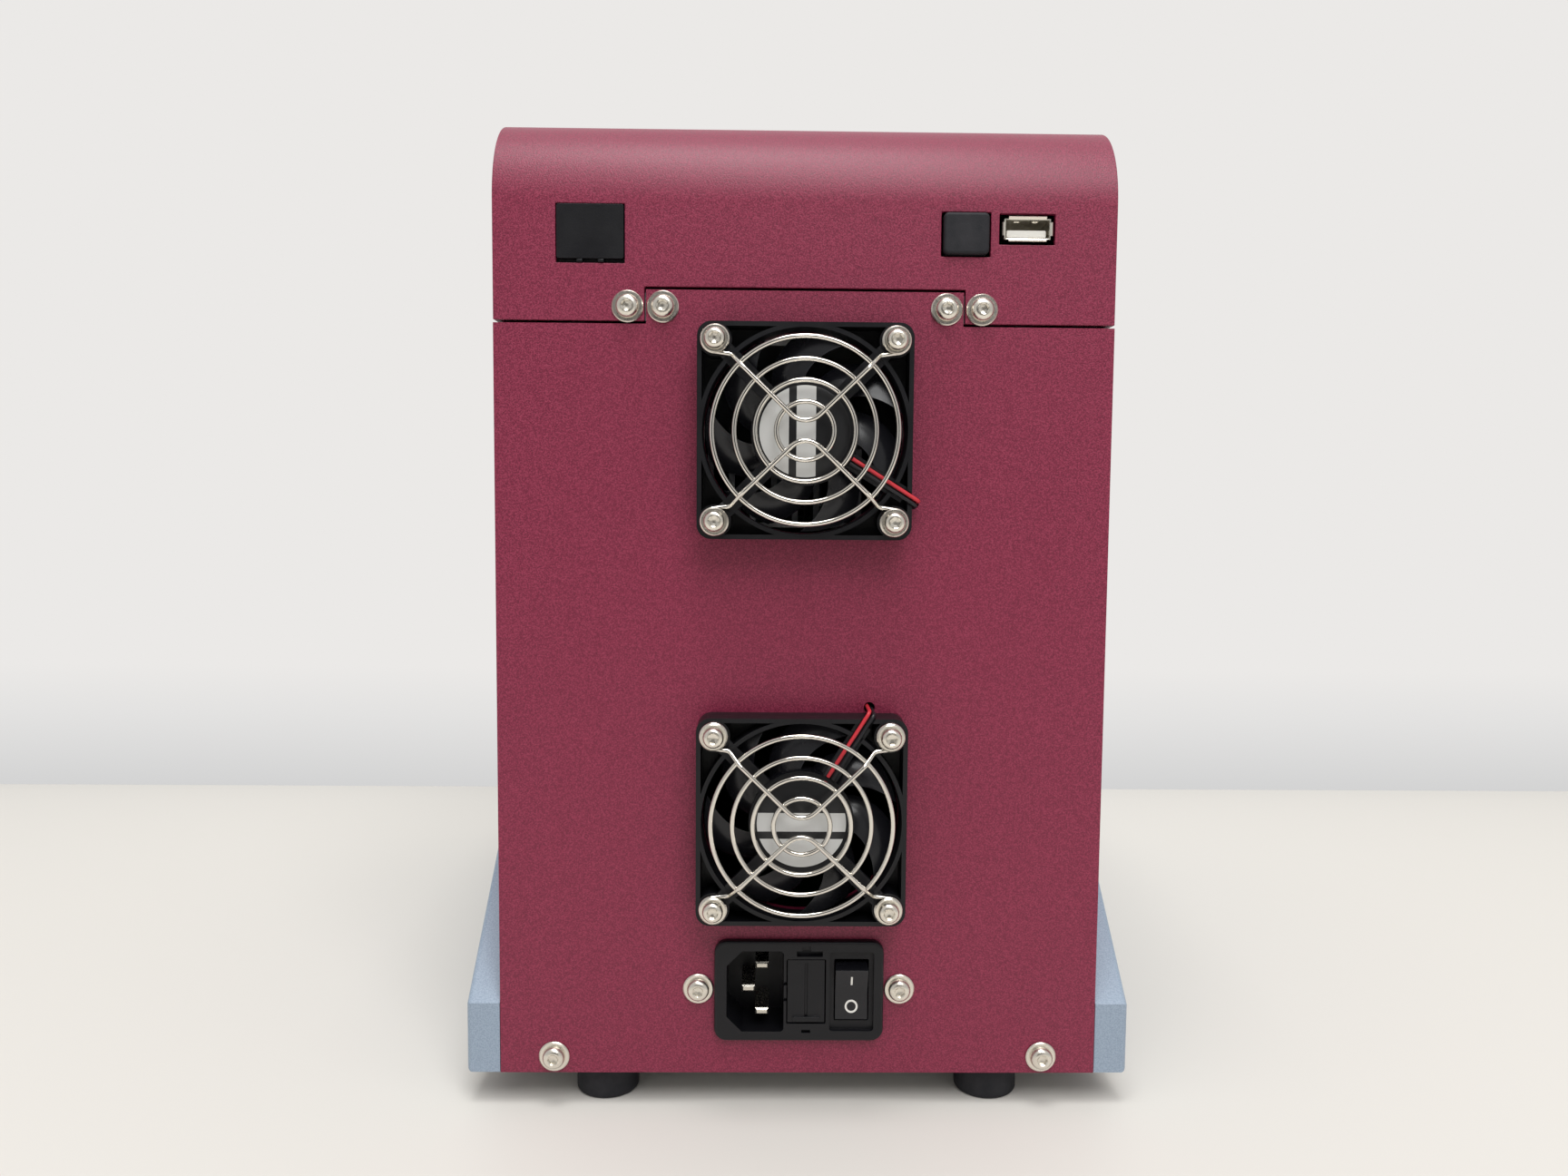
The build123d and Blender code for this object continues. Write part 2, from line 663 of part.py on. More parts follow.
def inlet_pins():
    """Three flat blades in the mains recess, the earth blade set towards the cut corners."""
    z = inlet_plane_z()
    tip = panel_y + inlet_rim - 2.2
    pins = []
    for dx, dz in ((0.0, pin_pitch / 2), (0.0, -pin_pitch / 2), (pin_offset, 0.0)):
        blade = rear_slab(recess_x - pin_offset / 2 + dx, z + dz, 4.0, 2.0,
                          panel_y + inlet_rim - recess_depth, tip)
        pins.append(chamfer(blade.faces().sort_by(Axis.Y)[-1].edges(), 0.5))
    return several(pins)


def fuse_drawer():
    """Pull-out drawer with a finger lip and two troughs for the fuses."""
    z = inlet_plane_z()
    outer_y = panel_y + inlet_rim
    drawer = rear_slab(drawer_x, z, drawer_width, drawer_height, panel_y - 18.6, outer_y - 0.3)
    for side in (1, -1):
        drawer -= slab(drawer_x - 3.1, drawer_x + drawer_width, panel_y - 17.6, outer_y - 3.2,
                       z + side * 4.6 - 3.1, z + side * 4.6 + 3.1)
    drawer -= rear_slab(drawer_x, z, 0.8, drawer_height - 2.0, outer_y - 0.7, outer_y)
    lip_z = z - drawer_height / 2 + 1.2
    drawer += rear_slab(drawer_x, lip_z, drawer_width - 3.0, 1.4, outer_y - 0.3, outer_y + 0.3)
    return drawer


def fuses():
    """Two glass cartridge fuses, 5 by 20 mm scaled to the trough, lying in the drawer."""
    z = inlet_plane_z()
    return several([rear_disc(drawer_x, z + side * 4.6, 2.4, panel_y - 17.4, outer_limit())
                    for side in (1, -1)])


def outer_limit():
    return panel_y + inlet_rim - 3.4


def rocker():
    """Switch rocker: two flats meeting in a shallow valley, turned on a pin across its middle."""
    z = inlet_plane_z()
    half = rocker_height / 2
    face_y = panel_y + inlet_rim - 0.6
    deep = panel_y - 6.5
    points = [(deep, z - 3.0), (deep, z + 3.0), (face_y - 4.5, z + half), (face_y + 1.0, z + half),
              (face_y - 0.8, z), (face_y + 1.0, z - half), (face_y - 4.5, z - half)]
    body = side_extrude(side_face(points), rocker_x - rocker_width / 2, rocker_x + rocker_width / 2)
    body = Pos(0, panel_y - 3.0, z) * Rot(-rocker_tilt, 0, 0) * Pos(0, 3.0 - panel_y, -z) * body
    return body + across(rocker_x, panel_y - 3.0, z, 1.5, rocker_width + 2.6)


def inlet_bracket():
    """Steel frame that clamps the inlet from inside; the two screws beside the inlet hold it."""
    z = inlet_plane_z()
    inner = panel_y - sheet
    frame = rear_slab(0, z, 68.0, inlet_height + 0.9, inner - 1.5, inner, 2.0)
    gap = 2 * clearance - 2 * inlet_step
    frame -= rear_slab(0, z, inlet_width + gap, inlet_height + gap, inner - 3, inner + 1)
    points = [(s * inlet_screw_x, z) for s in (1, -1)]
    return cut_holes(frame, points, inner - 3, inner + 1)


def blank_plug():
    """Black plug that closes the spare opening, with two small feet at its lower edge."""
    z = floor_z + port_height
    x = blank_x
    width = blank_opening[0] - 0.5
    height = blank_opening[1] - 1.4
    plug = rear_slab(x, z + 0.5, width, height, panel_y - sheet - 1.5, panel_y + 0.3, 0.6)
    plug += rear_slab(x, z + 0.5, width + 3.0, height + 3.6, panel_y - sheet - 1.5, panel_y - sheet)
    for side in (1, -1):
        plug += rear_slab(x + side * 3.0, z - height / 2 - 0.1, 1.6, 0.8, panel_y - sheet, panel_y + 0.3)
    return plug


def socket_z():
    return floor_z + port_height + cap_rise


def usb_z():
    return floor_z + port_height + usb_rise


def type_b_socket():
    """Square device socket behind the rubber cap, on the control board."""
    z = socket_z()
    front = panel_y - sheet - 0.4
    shell = rear_slab(cap_x, z, 12.0, 11.0, front - 16.0, front, 0.4)
    shell -= rear_slab(cap_x, z, 8.6, 7.8, front - 9.0, front + 1)
    return shell + rear_slab(cap_x, z, 5.6, 3.2, front - 9.5, front - 1.5)


def rubber_cap():
    """Soft dust cap: a pillowed square head and a stem that plugs the socket."""
    z = socket_z() + 0.1
    head = rear_slab(cap_x, z, cap_size[0], cap_size[1], panel_y - sheet + 0.1, panel_y + 1.6, 1.4)
    head = fillet(head.edges().filter_by(lambda e: e.center().Y > panel_y + 1.5), 0.9)
    stem = rear_slab(cap_x, z - 0.1, 7.8, 7.0, panel_y - sheet - 7.0, panel_y - sheet + 0.2)
    return head + (stem - rear_slab(cap_x, z - 0.1, 6.2, 3.8, panel_y - sheet - 8.0, panel_y - sheet - 1.0))


def usb_receptacle():
    """Folded steel shell of the host socket with lips flared outwards on four sides."""
    z = usb_z()
    mouth = panel_y + 0.2
    width, height = usb_shell
    wall = 0.35
    shell = rear_slab(usb_x, z, width, height, mouth - usb_length, mouth)
    shell -= rear_slab(usb_x, z, width - 2 * wall, height - 2 * wall, mouth - usb_length + wall, mouth + 1)
    for side in (1, -1):
        lip = Pos(usb_x, mouth, z + side * (height / 2 + 0.1)) * Rot(-side * 40, 0, 0)
        shell += lip * Box(width - 2.4, wall, 1.1)
        edge = Pos(usb_x + side * (width / 2 + 0.1), mouth, z) * Rot(0, 0, side * 40)
        shell += edge * Box(1.1, wall, height - 2.0)
    for side in (1, -1):
        spring = rear_slab(usb_x + side * 2.6, z + height / 2 - wall / 2, 1.7, 1.2, mouth - 3.4, mouth - 1.6)
        shell -= spring
    return shell


def usb_tongue():
    """White tongue that carries the contacts in the lower half of the socket."""
    z = usb_z()
    mouth = panel_y + 0.2
    return rear_slab(usb_x, z - 1.0, usb_shell[0] - 2.0, 1.9, mouth - usb_length + 0.35, mouth - 1.6, 0.3)


def control_board():
    """Board that stands in the hood behind the sockets, on two spacers from the hood's back."""
    bottom = seam_z + 12.0
    board = slab(-76, 76, panel_y - 32, panel_y - 32 + board_thickness, bottom, bottom + 40)
    floor = socket_z() - 5.5
    board += slab(-74, -34, panel_y - 32, panel_y - sheet - 3.0, floor - board_thickness, floor)
    chips = ((-10, 10, 14, 14), (20, 16, 10, 10), (52, 12, 9, 18), (38, 24, 7, 6), (-30, 22, 9, 6))
    for x, up, wide, high in chips:
        board += slab(x, x + wide, panel_y - 35.5, panel_y - 32, bottom + up, bottom + up + high)
    return board


def board_posts():
    """Four spacers that carry the control board from the deck's rear bracket."""
    posts = []
    for x in (-70, -24, 24, 70):
        posts.append(upright(x, panel_y - 32 - 4.2, 3.0, deck_top_z, seam_z + 22)
                     + rear_disc(x, seam_z + 18, 2.4, panel_y - 36.2, panel_y - 32))
    return several(posts)


def fan_duct_shroud():
    """Sheet duct from the heat sink's rear to the upper fan, tapering from wide to nearly square."""
    z_sink = sink_top_z() - sink_base - sink_fin_height / 2
    rear = panel_y - sheet - nut_height - 0.5
    front = block_y + sink_depth / 2 + 0.4
    fan_z = floor_z + upper_fan_height

    def section(y, z, width, height):
        plane = Plane(origin=(0, y, z), x_dir=(-1, 0, 0), z_dir=(0, 1, 0))
        return plane * RectangleRounded(width, height, 3.0)

    outer = loft([section(front, z_sink, sink_width, sink_fin_height),
                  section(rear, fan_z, fan_size, fan_size - 6)])
    inner = loft([section(front - 0.5, z_sink, sink_width - 3, sink_fin_height - 3),
                  section(rear + 0.5, fan_z, fan_size - 3, fan_size - 9)])
    return outer - inner


def sink_top_z():
    return block_top_z - block_height - peltier_height


def sample_block():
    """Aluminium base of the sample block that spreads the heat under the wells."""
    wide = well_columns * well_pitch + 2 * block_margin
    deep = well_rows * well_pitch + 2 * block_margin
    low = block_top_z - block_height
    base = at_block(wide, deep, low, block_top_z - well_depth - 0.6)
    return chamfer(base.edges().filter_by(Axis.Z), 1.5)


def well_centres():
    """(x, y) of every well."""
    xs = [(i - (well_columns - 1) / 2) * well_pitch for i in range(well_columns)]
    ys = [block_y + (j - (well_rows - 1) / 2) * well_pitch for j in range(well_rows)]
    return [(x, y) for y in ys for x in xs]


def tube_wells():
    """Tapered wells that stand on the base, each with a thicker rim."""
    wells = []
    low = block_top_z - well_depth - 0.6
    top = block_top_z
    for x, y in well_centres():
        outline = [(0, low), (well_bottom / 2 + well_wall, low), (well_mouth / 2 + well_wall, top - 3.0),
                   (well_mouth / 2 + 1.9, top - 2.2), (well_mouth / 2 + 1.9, top), (well_mouth / 2, top),
                   (well_bottom / 2, low + 0.8), (0, low + 0.8)]
        profile = make_face(Plane.XZ * Polyline(*outline, close=True))
        wells.append(Pos(x, y, 0) * revolve(profile, Axis.Z, 360))
    return several(wells)


def block_frame():
    """Insulating frame that fills the gap between the block and the deck."""
    wide = well_columns * well_pitch + 2 * block_margin
    deep = well_rows * well_pitch + 2 * block_margin
    low = block_top_z - block_height
    frame = at_block(wide + 14, deep + 14, low, deck_top_z - deck_sheet - 0.1)
    frame += at_block(wide + 0.2, deep + 0.2, deck_top_z - 2, block_top_z - 0.4)
    inner = at_block(wide - 5.2, deep - 5.2, low - 1, block_top_z + 1)
    gap = 2 * clearance
    seat = at_block(wide + gap, deep + gap, low - 1, block_top_z - well_depth - 0.3)
    return frame - inner - seat


def peltier_modules():
    """Two thermoelectric modules side by side between the block and the heat sink."""
    modules = []
    low = sink_top_z()
    for side in (1, -1):
        x = side * 15.5
        top = low + peltier_height
        module = at_block(30, 30, low, low + 0.8) + at_block(28, 28, low + 0.8, top - 0.8)
        modules.append(Pos(x, 0, 0) * (module + at_block(30, 30, top - 0.8, top)))
    return several(modules)


def heat_sink():
    """Extruded heat sink: thick base and straight fins along the air's way."""
    top = sink_top_z()
    y0 = block_y - sink_depth / 2
    y1 = block_y + sink_depth / 2
    sink = slab(-sink_width / 2, sink_width / 2, y0, y1, top - sink_base, top)
    step = (sink_width - fin_thickness) / (fin_count - 1)
    for i in range(fin_count):
        x = -sink_width / 2 + i * step
        sink += slab(x, x + fin_thickness, y0, y1, top - sink_base - sink_fin_height, top - sink_base)
    return sink


def sink_posts():
    """Four posts from the heat sink to the deck, each with its screw head above the deck."""
    posts = []
    for sx in (1, -1):
        for sy in (1, -1):
            x = sx * (sink_width / 2 - 6)
            y = block_y + sy * (sink_depth / 2 - 6)
            post = upright(x, y, 3.2, sink_top_z(), deck_top_z - deck_sheet)
            post += upright(x, y, 1.6, deck_top_z - 2, deck_top_z)
            posts.append(post + upright(x, y, 3.0, deck_top_z, deck_top_z + 0.9))
    return several(posts)


def power_supply():
    """Switched supply: vented U-shaped cage on the tray."""
    low = floor_z + tray_sheet
    x0, x1 = -62.0, 48.0
    y0, y1 = panel_y - 198.0, panel_y - 45.0
    cage = slab(x0, x1, y0, y1, low, low + 42)
    cage -= slab(x0 + 1.5, x1 - 1.5, y0 - 1, y1 + 1, low + 1.5, low + 50)
    for i in range(7):
        y = y0 + 18 + i * 20
        cage -= slab(x0 - 1, x1 + 1, y, y + 9, low + 14, low + 32)
    return cage


def supply_board():
    """The supply's board on its cage, with transformer, choke, capacitors and heat spreader."""
    low = floor_z + tray_sheet + 1.5
    x0, x1 = -60.0, 46.0
    y0, y1 = panel_y - 196.0, panel_y - 47.0
    board = slab(x0, x1, y0, y1, low + 5.0, low + 5.0 + board_thickness)
    for sx in (x0 + 5, x1 - 5):
        for sy in (y0 + 5, y1 - 5):
            board += upright(sx, sy, 3.0, low, low + 5.0)
    top = low + 5.0 + board_thickness
    board += slab(-24, 12, y0 + 62, y0 + 98, top, top + 26)
    board += slab(-50, -28, y0 + 110, y0 + 134, top, top + 18)
    for y in (y0 + 20, y0 + 42):
        board += upright(x0 + 22, y, 9.0, top, top + 30)
        board += upright(x1 - 18, y, 7.0, top, top + 24)
    board += slab(x1 - 6, x1 - 3, y0 + 60, y1 - 16, top, top + 28)
    return board


def driver_board():
    """Board that drives the thermoelectric modules, upright on the tray in front of the supply."""
    y = panel_y - 214.0
    low = floor_z + tray_sheet
    board = slab(-70, 70, y, y + board_thickness, low, low + 84)
    board += slab(-72, 72, y - 1.5, y, low, low + 8)
    for i in range(4):
        board += slab(-56 + i * 32, -40 + i * 32, y + board_thickness, y + 12, low + 40, low + 62)
        board += Pos(-48 + i * 32, y + 8.6, low + 22) * Rot(90, 0, 0) * Cylinder(6.0, 14)
    return board


def lid_front_y():
    return panel_y - body_depth + lid_setback


def lid_outline(inset):
    """Side outline of the lid, moved in by inset, with the corner radii that go with it."""
    rear = hinge_y + hinge_radius - inset
    front = lid_front_y() + inset
    top = top_z - inset
    low = lid_bottom_z - (1.0 if inset else 0.0)
    lean = 8.0
    corners = [(rear, low), (rear, top), (front + lean, top), (front, lid_bottom_z + 12), (front, low)]
    return side_face(corners, [(1, hinge_radius - inset), (2, lid_front_radius - inset), (3, 6.0)])


def hinge_notch(side, grow=0.0):
    reach = hinge_length / 2 + 0.5 + grow
    return slab(side * hinge_x - reach, side * hinge_x + reach, hinge_y - hinge_radius - 1.0 - grow,
                hinge_y + hinge_radius + 2, hinge_z - hinge_radius - 1.0 - grow, top_z + 2)


def lid_shell():
    """Bent cover of the lid with pockets at the rear for the hinge barrels and a recess for the latch."""
    shell = side_extrude(lid_outline(0.0), -half_width, half_width)
    shell = fillet(shell.edges().filter_by(lambda e: abs(abs(e.center().X) - half_width) < 0.01
                                           and e.center().Z > lid_bottom_z + 1
                                           and e.center().Y < hinge_y + hinge_radius - 0.5), 1.2)
    shell -= side_extrude(lid_outline(lid_wall), -half_width + lid_wall, half_width - lid_wall)
    for side in (1, -1):
        inside = slab(-half_width, half_width, hinge_y - 40, hinge_y + hinge_radius, hinge_z - 40, top_z)
        pocket = hinge_notch(side, 4.0) & (side_extrude(lid_outline(0.0), -half_width, half_width) & inside)
        shell += pocket
    for side in (1, -1):
        shell -= hinge_notch(side)
        shell -= across(side * hinge_x, hinge_y, hinge_z, hinge_pin_radius, hinge_length + 7.0)
    y = lid_front_y()
    low = lid_bottom_z
    reach = latch_width / 2 + 0.6
    hollow = slab(-reach, reach, y - 1, y + latch_bay, low - 1, low + latch_height + 1.0)
    bay = slab(-reach - 2, reach + 2, y + lid_wall - 0.5, y + latch_bay + 2.0, low, low + latch_height + 3.0)
    shell = (shell - hollow) + (bay - hollow)
    shell -= across(0, latch_pivot_y(), latch_pivot_z(), latch_pin_radius, latch_width + 4.4)
    return shell


def latch_pivot_y():
    return lid_front_y() + 9.0


def latch_pivot_z():
    return lid_bottom_z + 18.0


def strike_front_y():
    return latch_pivot_y() + strike_reach


def latch_lever():
    """Front lever: a curved finger pad above its pin and a hook below that swings under the strike."""
    py, pz = latch_pivot_y(), latch_pivot_z()
    front = lid_front_y() + 1.0
    pad = [(front, pz - 13), (front, pz + 10.5), (front + 3.6, pz + 10.5), (front + 4.4, pz + 2),
           (front + 4.4, pz - 13)]
    lever = side_extrude(side_face(pad, [(0, 1.5), (1, 1.5)]), -latch_width / 2, latch_width / 2)
    lever += across(0, py, pz, 3.6, latch_width)
    lever += slab(-latch_width / 2, latch_width / 2, front + 3, py, pz - 2.6, pz + 2.6)
    tip_z = deck_top_z - 7.5
    toe = [(py + 2.2, tip_z + 3.4), (py + 5.2, tip_z + 2.2), (py + 3.4, tip_z)]
    arm = [(py - 2.2, pz), (py + 2.2, pz), *toe, (py - 2.2, tip_z)]
    lever += side_extrude(side_face(arm), -hook_width / 2, hook_width / 2)
    return lever - across(0, py, pz, latch_pin_radius + running, latch_width + 2)


def latch_strike():
    """Hardened plate under the deck's slot that the hook swings under."""
    y = strike_front_y()
    top = deck_top_z - deck_sheet
    strike = slab(-hook_width / 2 - 6, hook_width / 2 + 6, y, y + 9, top - 2.0, top)
    return fillet(strike.edges().filter_by(Axis.Z).sort_by(Axis.Y)[2:], 2.0)


def lid_tray():
    """Inner tray of the lid that carries the heated plate on its four guide posts."""
    low = lid_bottom_z + 1.0
    x = half_width - lid_wall - clearance
    y0 = lid_front_y() + latch_bay + 2.6
    y1 = hinge_y + hinge_radius - lid_wall - clearance
    tray = slab(-x, x, y0, y1, low, low + 2.0)
    wide = plate_size[0] + 4.0
    deep = plate_size[1] + 4.0
    tray -= at_block(wide, deep, low - 1, low + 3)
    wall = 2.0
    box = at_block(wide + 2 * wall, deep + 2 * wall, low, carrier_z() + wall)
    box -= at_block(wide, deep, low - 1, carrier_z())
    tray += box
    for x_post, y_post in guide_points():
        tray -= upright(x_post, y_post, 1.5 + running, carrier_z() - 1, carrier_z() + wall + 1)
    return tray


def plate_top_z():
    return plate_bottom_z + plate_height


def carrier_z():
    return plate_top_z() + spring_gap


def guide_points():
    """(x, y) of the four posts that guide the heated plate."""
    x = plate_size[0] / 2 - 8
    y = plate_size[1] / 2 - 8
    return [(sx * x, block_y + sy * y) for sx in (1, -1) for sy in (1, -1)]


def heated_plate():
    """Aluminium plate that presses on the tubes, with four guide pins that slide in the lid's tray."""
    wide, deep = plate_size
    plate = at_block(wide, deep, plate_bottom_z, plate_top_z())
    plate = fillet(plate.edges().filter_by(Axis.Z), 3.0)
    plate = chamfer(plate.faces().sort_by(Axis.Z)[0].edges(), 0.6)
    for x, y in guide_points():
        plate += upright(x, y, 1.5, plate_top_z(), carrier_z() + 5.5)
        plate += upright(x, y, 2.8, carrier_z() + 2.0 + 0.3, carrier_z() + 4.0)
    return plate


def heater_film():
    """Silicone heater bonded to the top of the heated plate."""
    wide, deep = plate_size
    film = at_block(wide - 26, deep - 6, plate_top_z(), plate_top_z() + 1.6)
    return fillet(film.edges().filter_by(Axis.Z), 2.0)


def plate_springs():
    """Short coil springs round the guide pins, shown at their working length."""
    springs = []
    for x, y in guide_points():
        coil = upright(x, y, 3.2, plate_top_z() + 0.15, carrier_z() - plate_travel - 0.2)
        springs.append(coil - upright(x, y, 2.0, plate_top_z() - 1, carrier_z() + 1))
    return several(springs)


def hinge_brackets():
    """Two steel hinge brackets: a leaf inside the hood and a barrel on the lid's axis."""
    parts = []
    for side in (1, -1):
        x = side * hinge_x
        half = hinge_length / 2
        leaf_y = hood_front_y + sheet
        leaf = slab(x - half - 6, x + half + 6, leaf_y, leaf_y + 2.5, hinge_z - 26, hinge_z - 2)
        arm = slab(x - half, x + half, hinge_y, leaf_y + 2.5, hinge_z - 4.0, hinge_z - 0.6)
        barrel = across(x, hinge_y, hinge_z, 5.2, 2 * half)
        part = leaf + arm + barrel
        parts.append(part - across(x, hinge_y, hinge_z, hinge_pin_radius + running, 3 * half))
    return several(parts)


def lid_pins():
    """The two hinge pins and the latch pin, all pressed into the lid."""
    length = hinge_length + 7.0
    pins = [across(side * hinge_x, hinge_y, hinge_z, hinge_pin_radius, length) for side in (1, -1)]
    pins.append(across(0, latch_pivot_y(), latch_pivot_z(), latch_pin_radius, latch_width + 4.0))
    return several(pins)


def fan_leads(height, turn):
    """Two insulated leads from the motor plate over their strut and the frame's edge into the panel."""
    z = floor_z + height
    y = panel_y + fan_depth - lead_strut_drop + lead_radius + 0.05
    leads = []
    for side in (1, -1):
        points = []
        for reach in (fan_hub / 2 + 0.2, lead_exit / math.sin(math.radians(lead_angle))):
            points.append(lead_point(reach, side, y))
        end = points[-1]
        points.append((end[0], panel_y - sheet - 1.5, end[2]))
        path = FilletPolyline(*points, radius=1.5)
        section = Plane(origin=path @ 0, z_dir=path % 0) * Circle(lead_radius)
        leads.append(Pos(0, 0, z) * Rot(0, turn, 0) * sweep(section, path=path))
    return leads


def lead_point(reach, side, y):
    """Point on a lead, reach from the fan's axis, in the fan's own frame."""
    a = math.radians(lead_angle)
    shift = side * lead_pitch / 2
    return (-reach * math.cos(a) + shift * math.sin(a), y, reach * math.sin(a) + shift * math.cos(a))


def fan_lead_pair(index):
    """One colour of lead on both fans."""
    upper = fan_leads(upper_fan_height, upper_turn)[index]
    return several([upper, fan_leads(lower_fan_height, lower_turn)[index]])


builders = {
    "back_panel": back_panel,
    "side_panel_right": side_panel,
    "side_panel_left": lambda: mirror(side_panel(), about=Plane.YZ),
    "base_tray": base_tray,
    "rubber_feet": rubber_feet,
    "foot_screws": foot_screws,
    "cheek_right": cheek,
    "cheek_left": lambda: mirror(cheek(), about=Plane.YZ),
    "front_fascia": front_fascia,
    "touch_screen": touch_screen,
    "display_module": display_module,
    "deck": deck,
    "hood": hood,
    "join_brackets": join_brackets,
    "panel_screws": panel_screws,
    "panel_washers": panel_washers,
    "upper_fan_frame": lambda: fan_frame(upper_fan_height, upper_turn),
    "upper_fan_rotor": lambda: fan_rotor(upper_fan_height),
    "upper_fan_guard": lambda: fan_guard(upper_fan_height),
    "lower_fan_frame": lambda: fan_frame(lower_fan_height, lower_turn),
    "lower_fan_rotor": lambda: fan_rotor(lower_fan_height),
    "lower_fan_guard": lambda: fan_guard(lower_fan_height),
    "fan_leads_red": lambda: fan_lead_pair(0),
    "fan_leads_black": lambda: fan_lead_pair(1),
    "fan_screws": fan_screws,
    "fan_washers": fan_washers,
    "fan_nuts": fan_nuts,
    "inlet_body": inlet_body,
    "inlet_pins": inlet_pins,
    "inlet_bracket": inlet_bracket,
    "fuse_drawer": fuse_drawer,
    "fuses": fuses,
    "power_rocker": rocker,
    "blank_plug": blank_plug,
    "type_b_socket": type_b_socket,
    "rubber_cap": rubber_cap,
    "usb_receptacle": usb_receptacle,
    "usb_tongue": usb_tongue,
    "control_board": control_board,
    "board_posts": board_posts,
    "fan_duct_shroud": fan_duct_shroud,
    "sample_block": sample_block,
    "tube_wells": tube_wells,
    "block_frame": block_frame,
    "peltier_modules": peltier_modules,
    "heat_sink": heat_sink,
    "sink_posts": sink_posts,
    "power_supply": power_supply,
    "supply_board": supply_board,
    "driver_board": driver_board,
    "lid_shell": lid_shell,
    "lid_tray": lid_tray,
    "heated_plate": heated_plate,
    "heater_film": heater_film,
    "plate_springs": plate_springs,
    "hinge_brackets": hinge_brackets,
    "lid_pins": lid_pins,
    "latch_lever": latch_lever,
    "latch_strike": latch_strike,
}


def main():
    """Build every sub-part and write it to its own file."""
    os.makedirs("parts", exist_ok=True)
    for name, build in builders.items():
        export_step(build(), f"parts/{name}.step")
        print(name)


main()
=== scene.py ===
import bpy
import bmesh
import json
import math
import mathutils
import numpy as np
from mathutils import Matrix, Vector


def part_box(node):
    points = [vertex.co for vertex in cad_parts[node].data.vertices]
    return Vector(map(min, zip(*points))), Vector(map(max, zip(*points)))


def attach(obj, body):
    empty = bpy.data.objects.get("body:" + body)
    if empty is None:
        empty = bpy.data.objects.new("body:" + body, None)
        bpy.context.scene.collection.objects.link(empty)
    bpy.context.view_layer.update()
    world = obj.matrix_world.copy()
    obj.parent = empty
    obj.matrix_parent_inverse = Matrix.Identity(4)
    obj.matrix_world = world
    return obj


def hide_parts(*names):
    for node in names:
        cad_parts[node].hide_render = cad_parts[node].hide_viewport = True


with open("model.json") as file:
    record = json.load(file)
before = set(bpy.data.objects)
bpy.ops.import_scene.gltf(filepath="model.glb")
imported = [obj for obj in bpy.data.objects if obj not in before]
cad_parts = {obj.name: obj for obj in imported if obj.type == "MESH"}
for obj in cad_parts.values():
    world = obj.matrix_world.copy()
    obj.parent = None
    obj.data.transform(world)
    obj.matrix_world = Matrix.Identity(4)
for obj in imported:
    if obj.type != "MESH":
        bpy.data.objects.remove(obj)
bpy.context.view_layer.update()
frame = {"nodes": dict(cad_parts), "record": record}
print("frame loaded")

mm = 0.001
weldGap = {"node": 0.002 * mm, "grid": 0.0008 * mm}  # points closer than this become one


def linearHex(hexText):
    # An sRGB hex colour as the linear values that a shader takes
    parts = [int(hexText[i:i + 2], 16) / 255 for i in (1, 3, 5)]
    return tuple(p / 12.92 if p <= 0.04045 else ((p + 0.055) / 1.055) ** 2.4 for p in parts) + (1.0,)


def feed(tree, node, links):
    # Links each named input to its source: a socket, or a node's first output
    for key, source in links.items():
        socket = source.outputs[0] if isinstance(source, bpy.types.Node) else source
        tree.links.new(socket, node.inputs[key])


def addNode(tree, kind, settings=None, links=None):
    # Adds one node; settings are input values, properties or a ramp's stops, links are what feeds its inputs
    node = tree.nodes.new(kind)
    for key, value in (settings or {}).items():
        if key == "stops":
            elements = node.color_ramp.elements
            while len(elements) < len(value):
                elements.new(1.0)
            for element, (position, colour) in zip(elements, value):
                element.position = position
                element.color = linearHex(colour)
        elif isinstance(key, int) or key in node.inputs:
            node.inputs[key].default_value = linearHex(value) if isinstance(value, str) else value
        else:
            setattr(node, key, value)
    feed(tree, node, links or {})
    return node


def newMaterial(name, settings):
    # A principled material; returns it with its tree, its shader and the object's own coordinates
    material = bpy.data.materials.new(name)
    material.use_nodes = True
    tree = material.node_tree
    tree.nodes.clear()
    shader = addNode(tree, "ShaderNodeBsdfPrincipled", settings)
    addNode(tree, "ShaderNodeOutputMaterial", None, {"Surface": shader})
    return material, tree, shader, addNode(tree, "ShaderNodeTexCoord").outputs["Object"]


noiseMiddle = {"From Min": 0.3, "From Max": 0.7}  # where nearly all values of a noise lie

# Grain, relief and cloud are in millimetres; gloss is the roughness from the grain's valleys to its crests
coats = {
    "texturedPowderCoat": {
        "dark": "#6A1432", "body": "#7F1D3D", "light": "#93304D", "stops": (0.36, 0.5, 0.64), "grain": 0.4,
        "relief": 0.12, "gloss": (0.37, 0.52), "specular": 0.36, "coat": 0.25, "coatRoughness": 0.4,
        "cloud": 60.0, "cloudShare": 0.06},
    "fineTextureBluePaint": {
        "dark": "#8796A8", "body": "#91A0B1", "light": "#9AA9BA", "stops": (0.35, 0.5, 0.66), "grain": 0.4,
        "relief": 0.05, "gloss": (0.48, 0.48), "specular": 0.5, "coat": 0.0, "coatRoughness": 0.03,
        "cloud": 60.0, "cloudShare": 0.0},
}


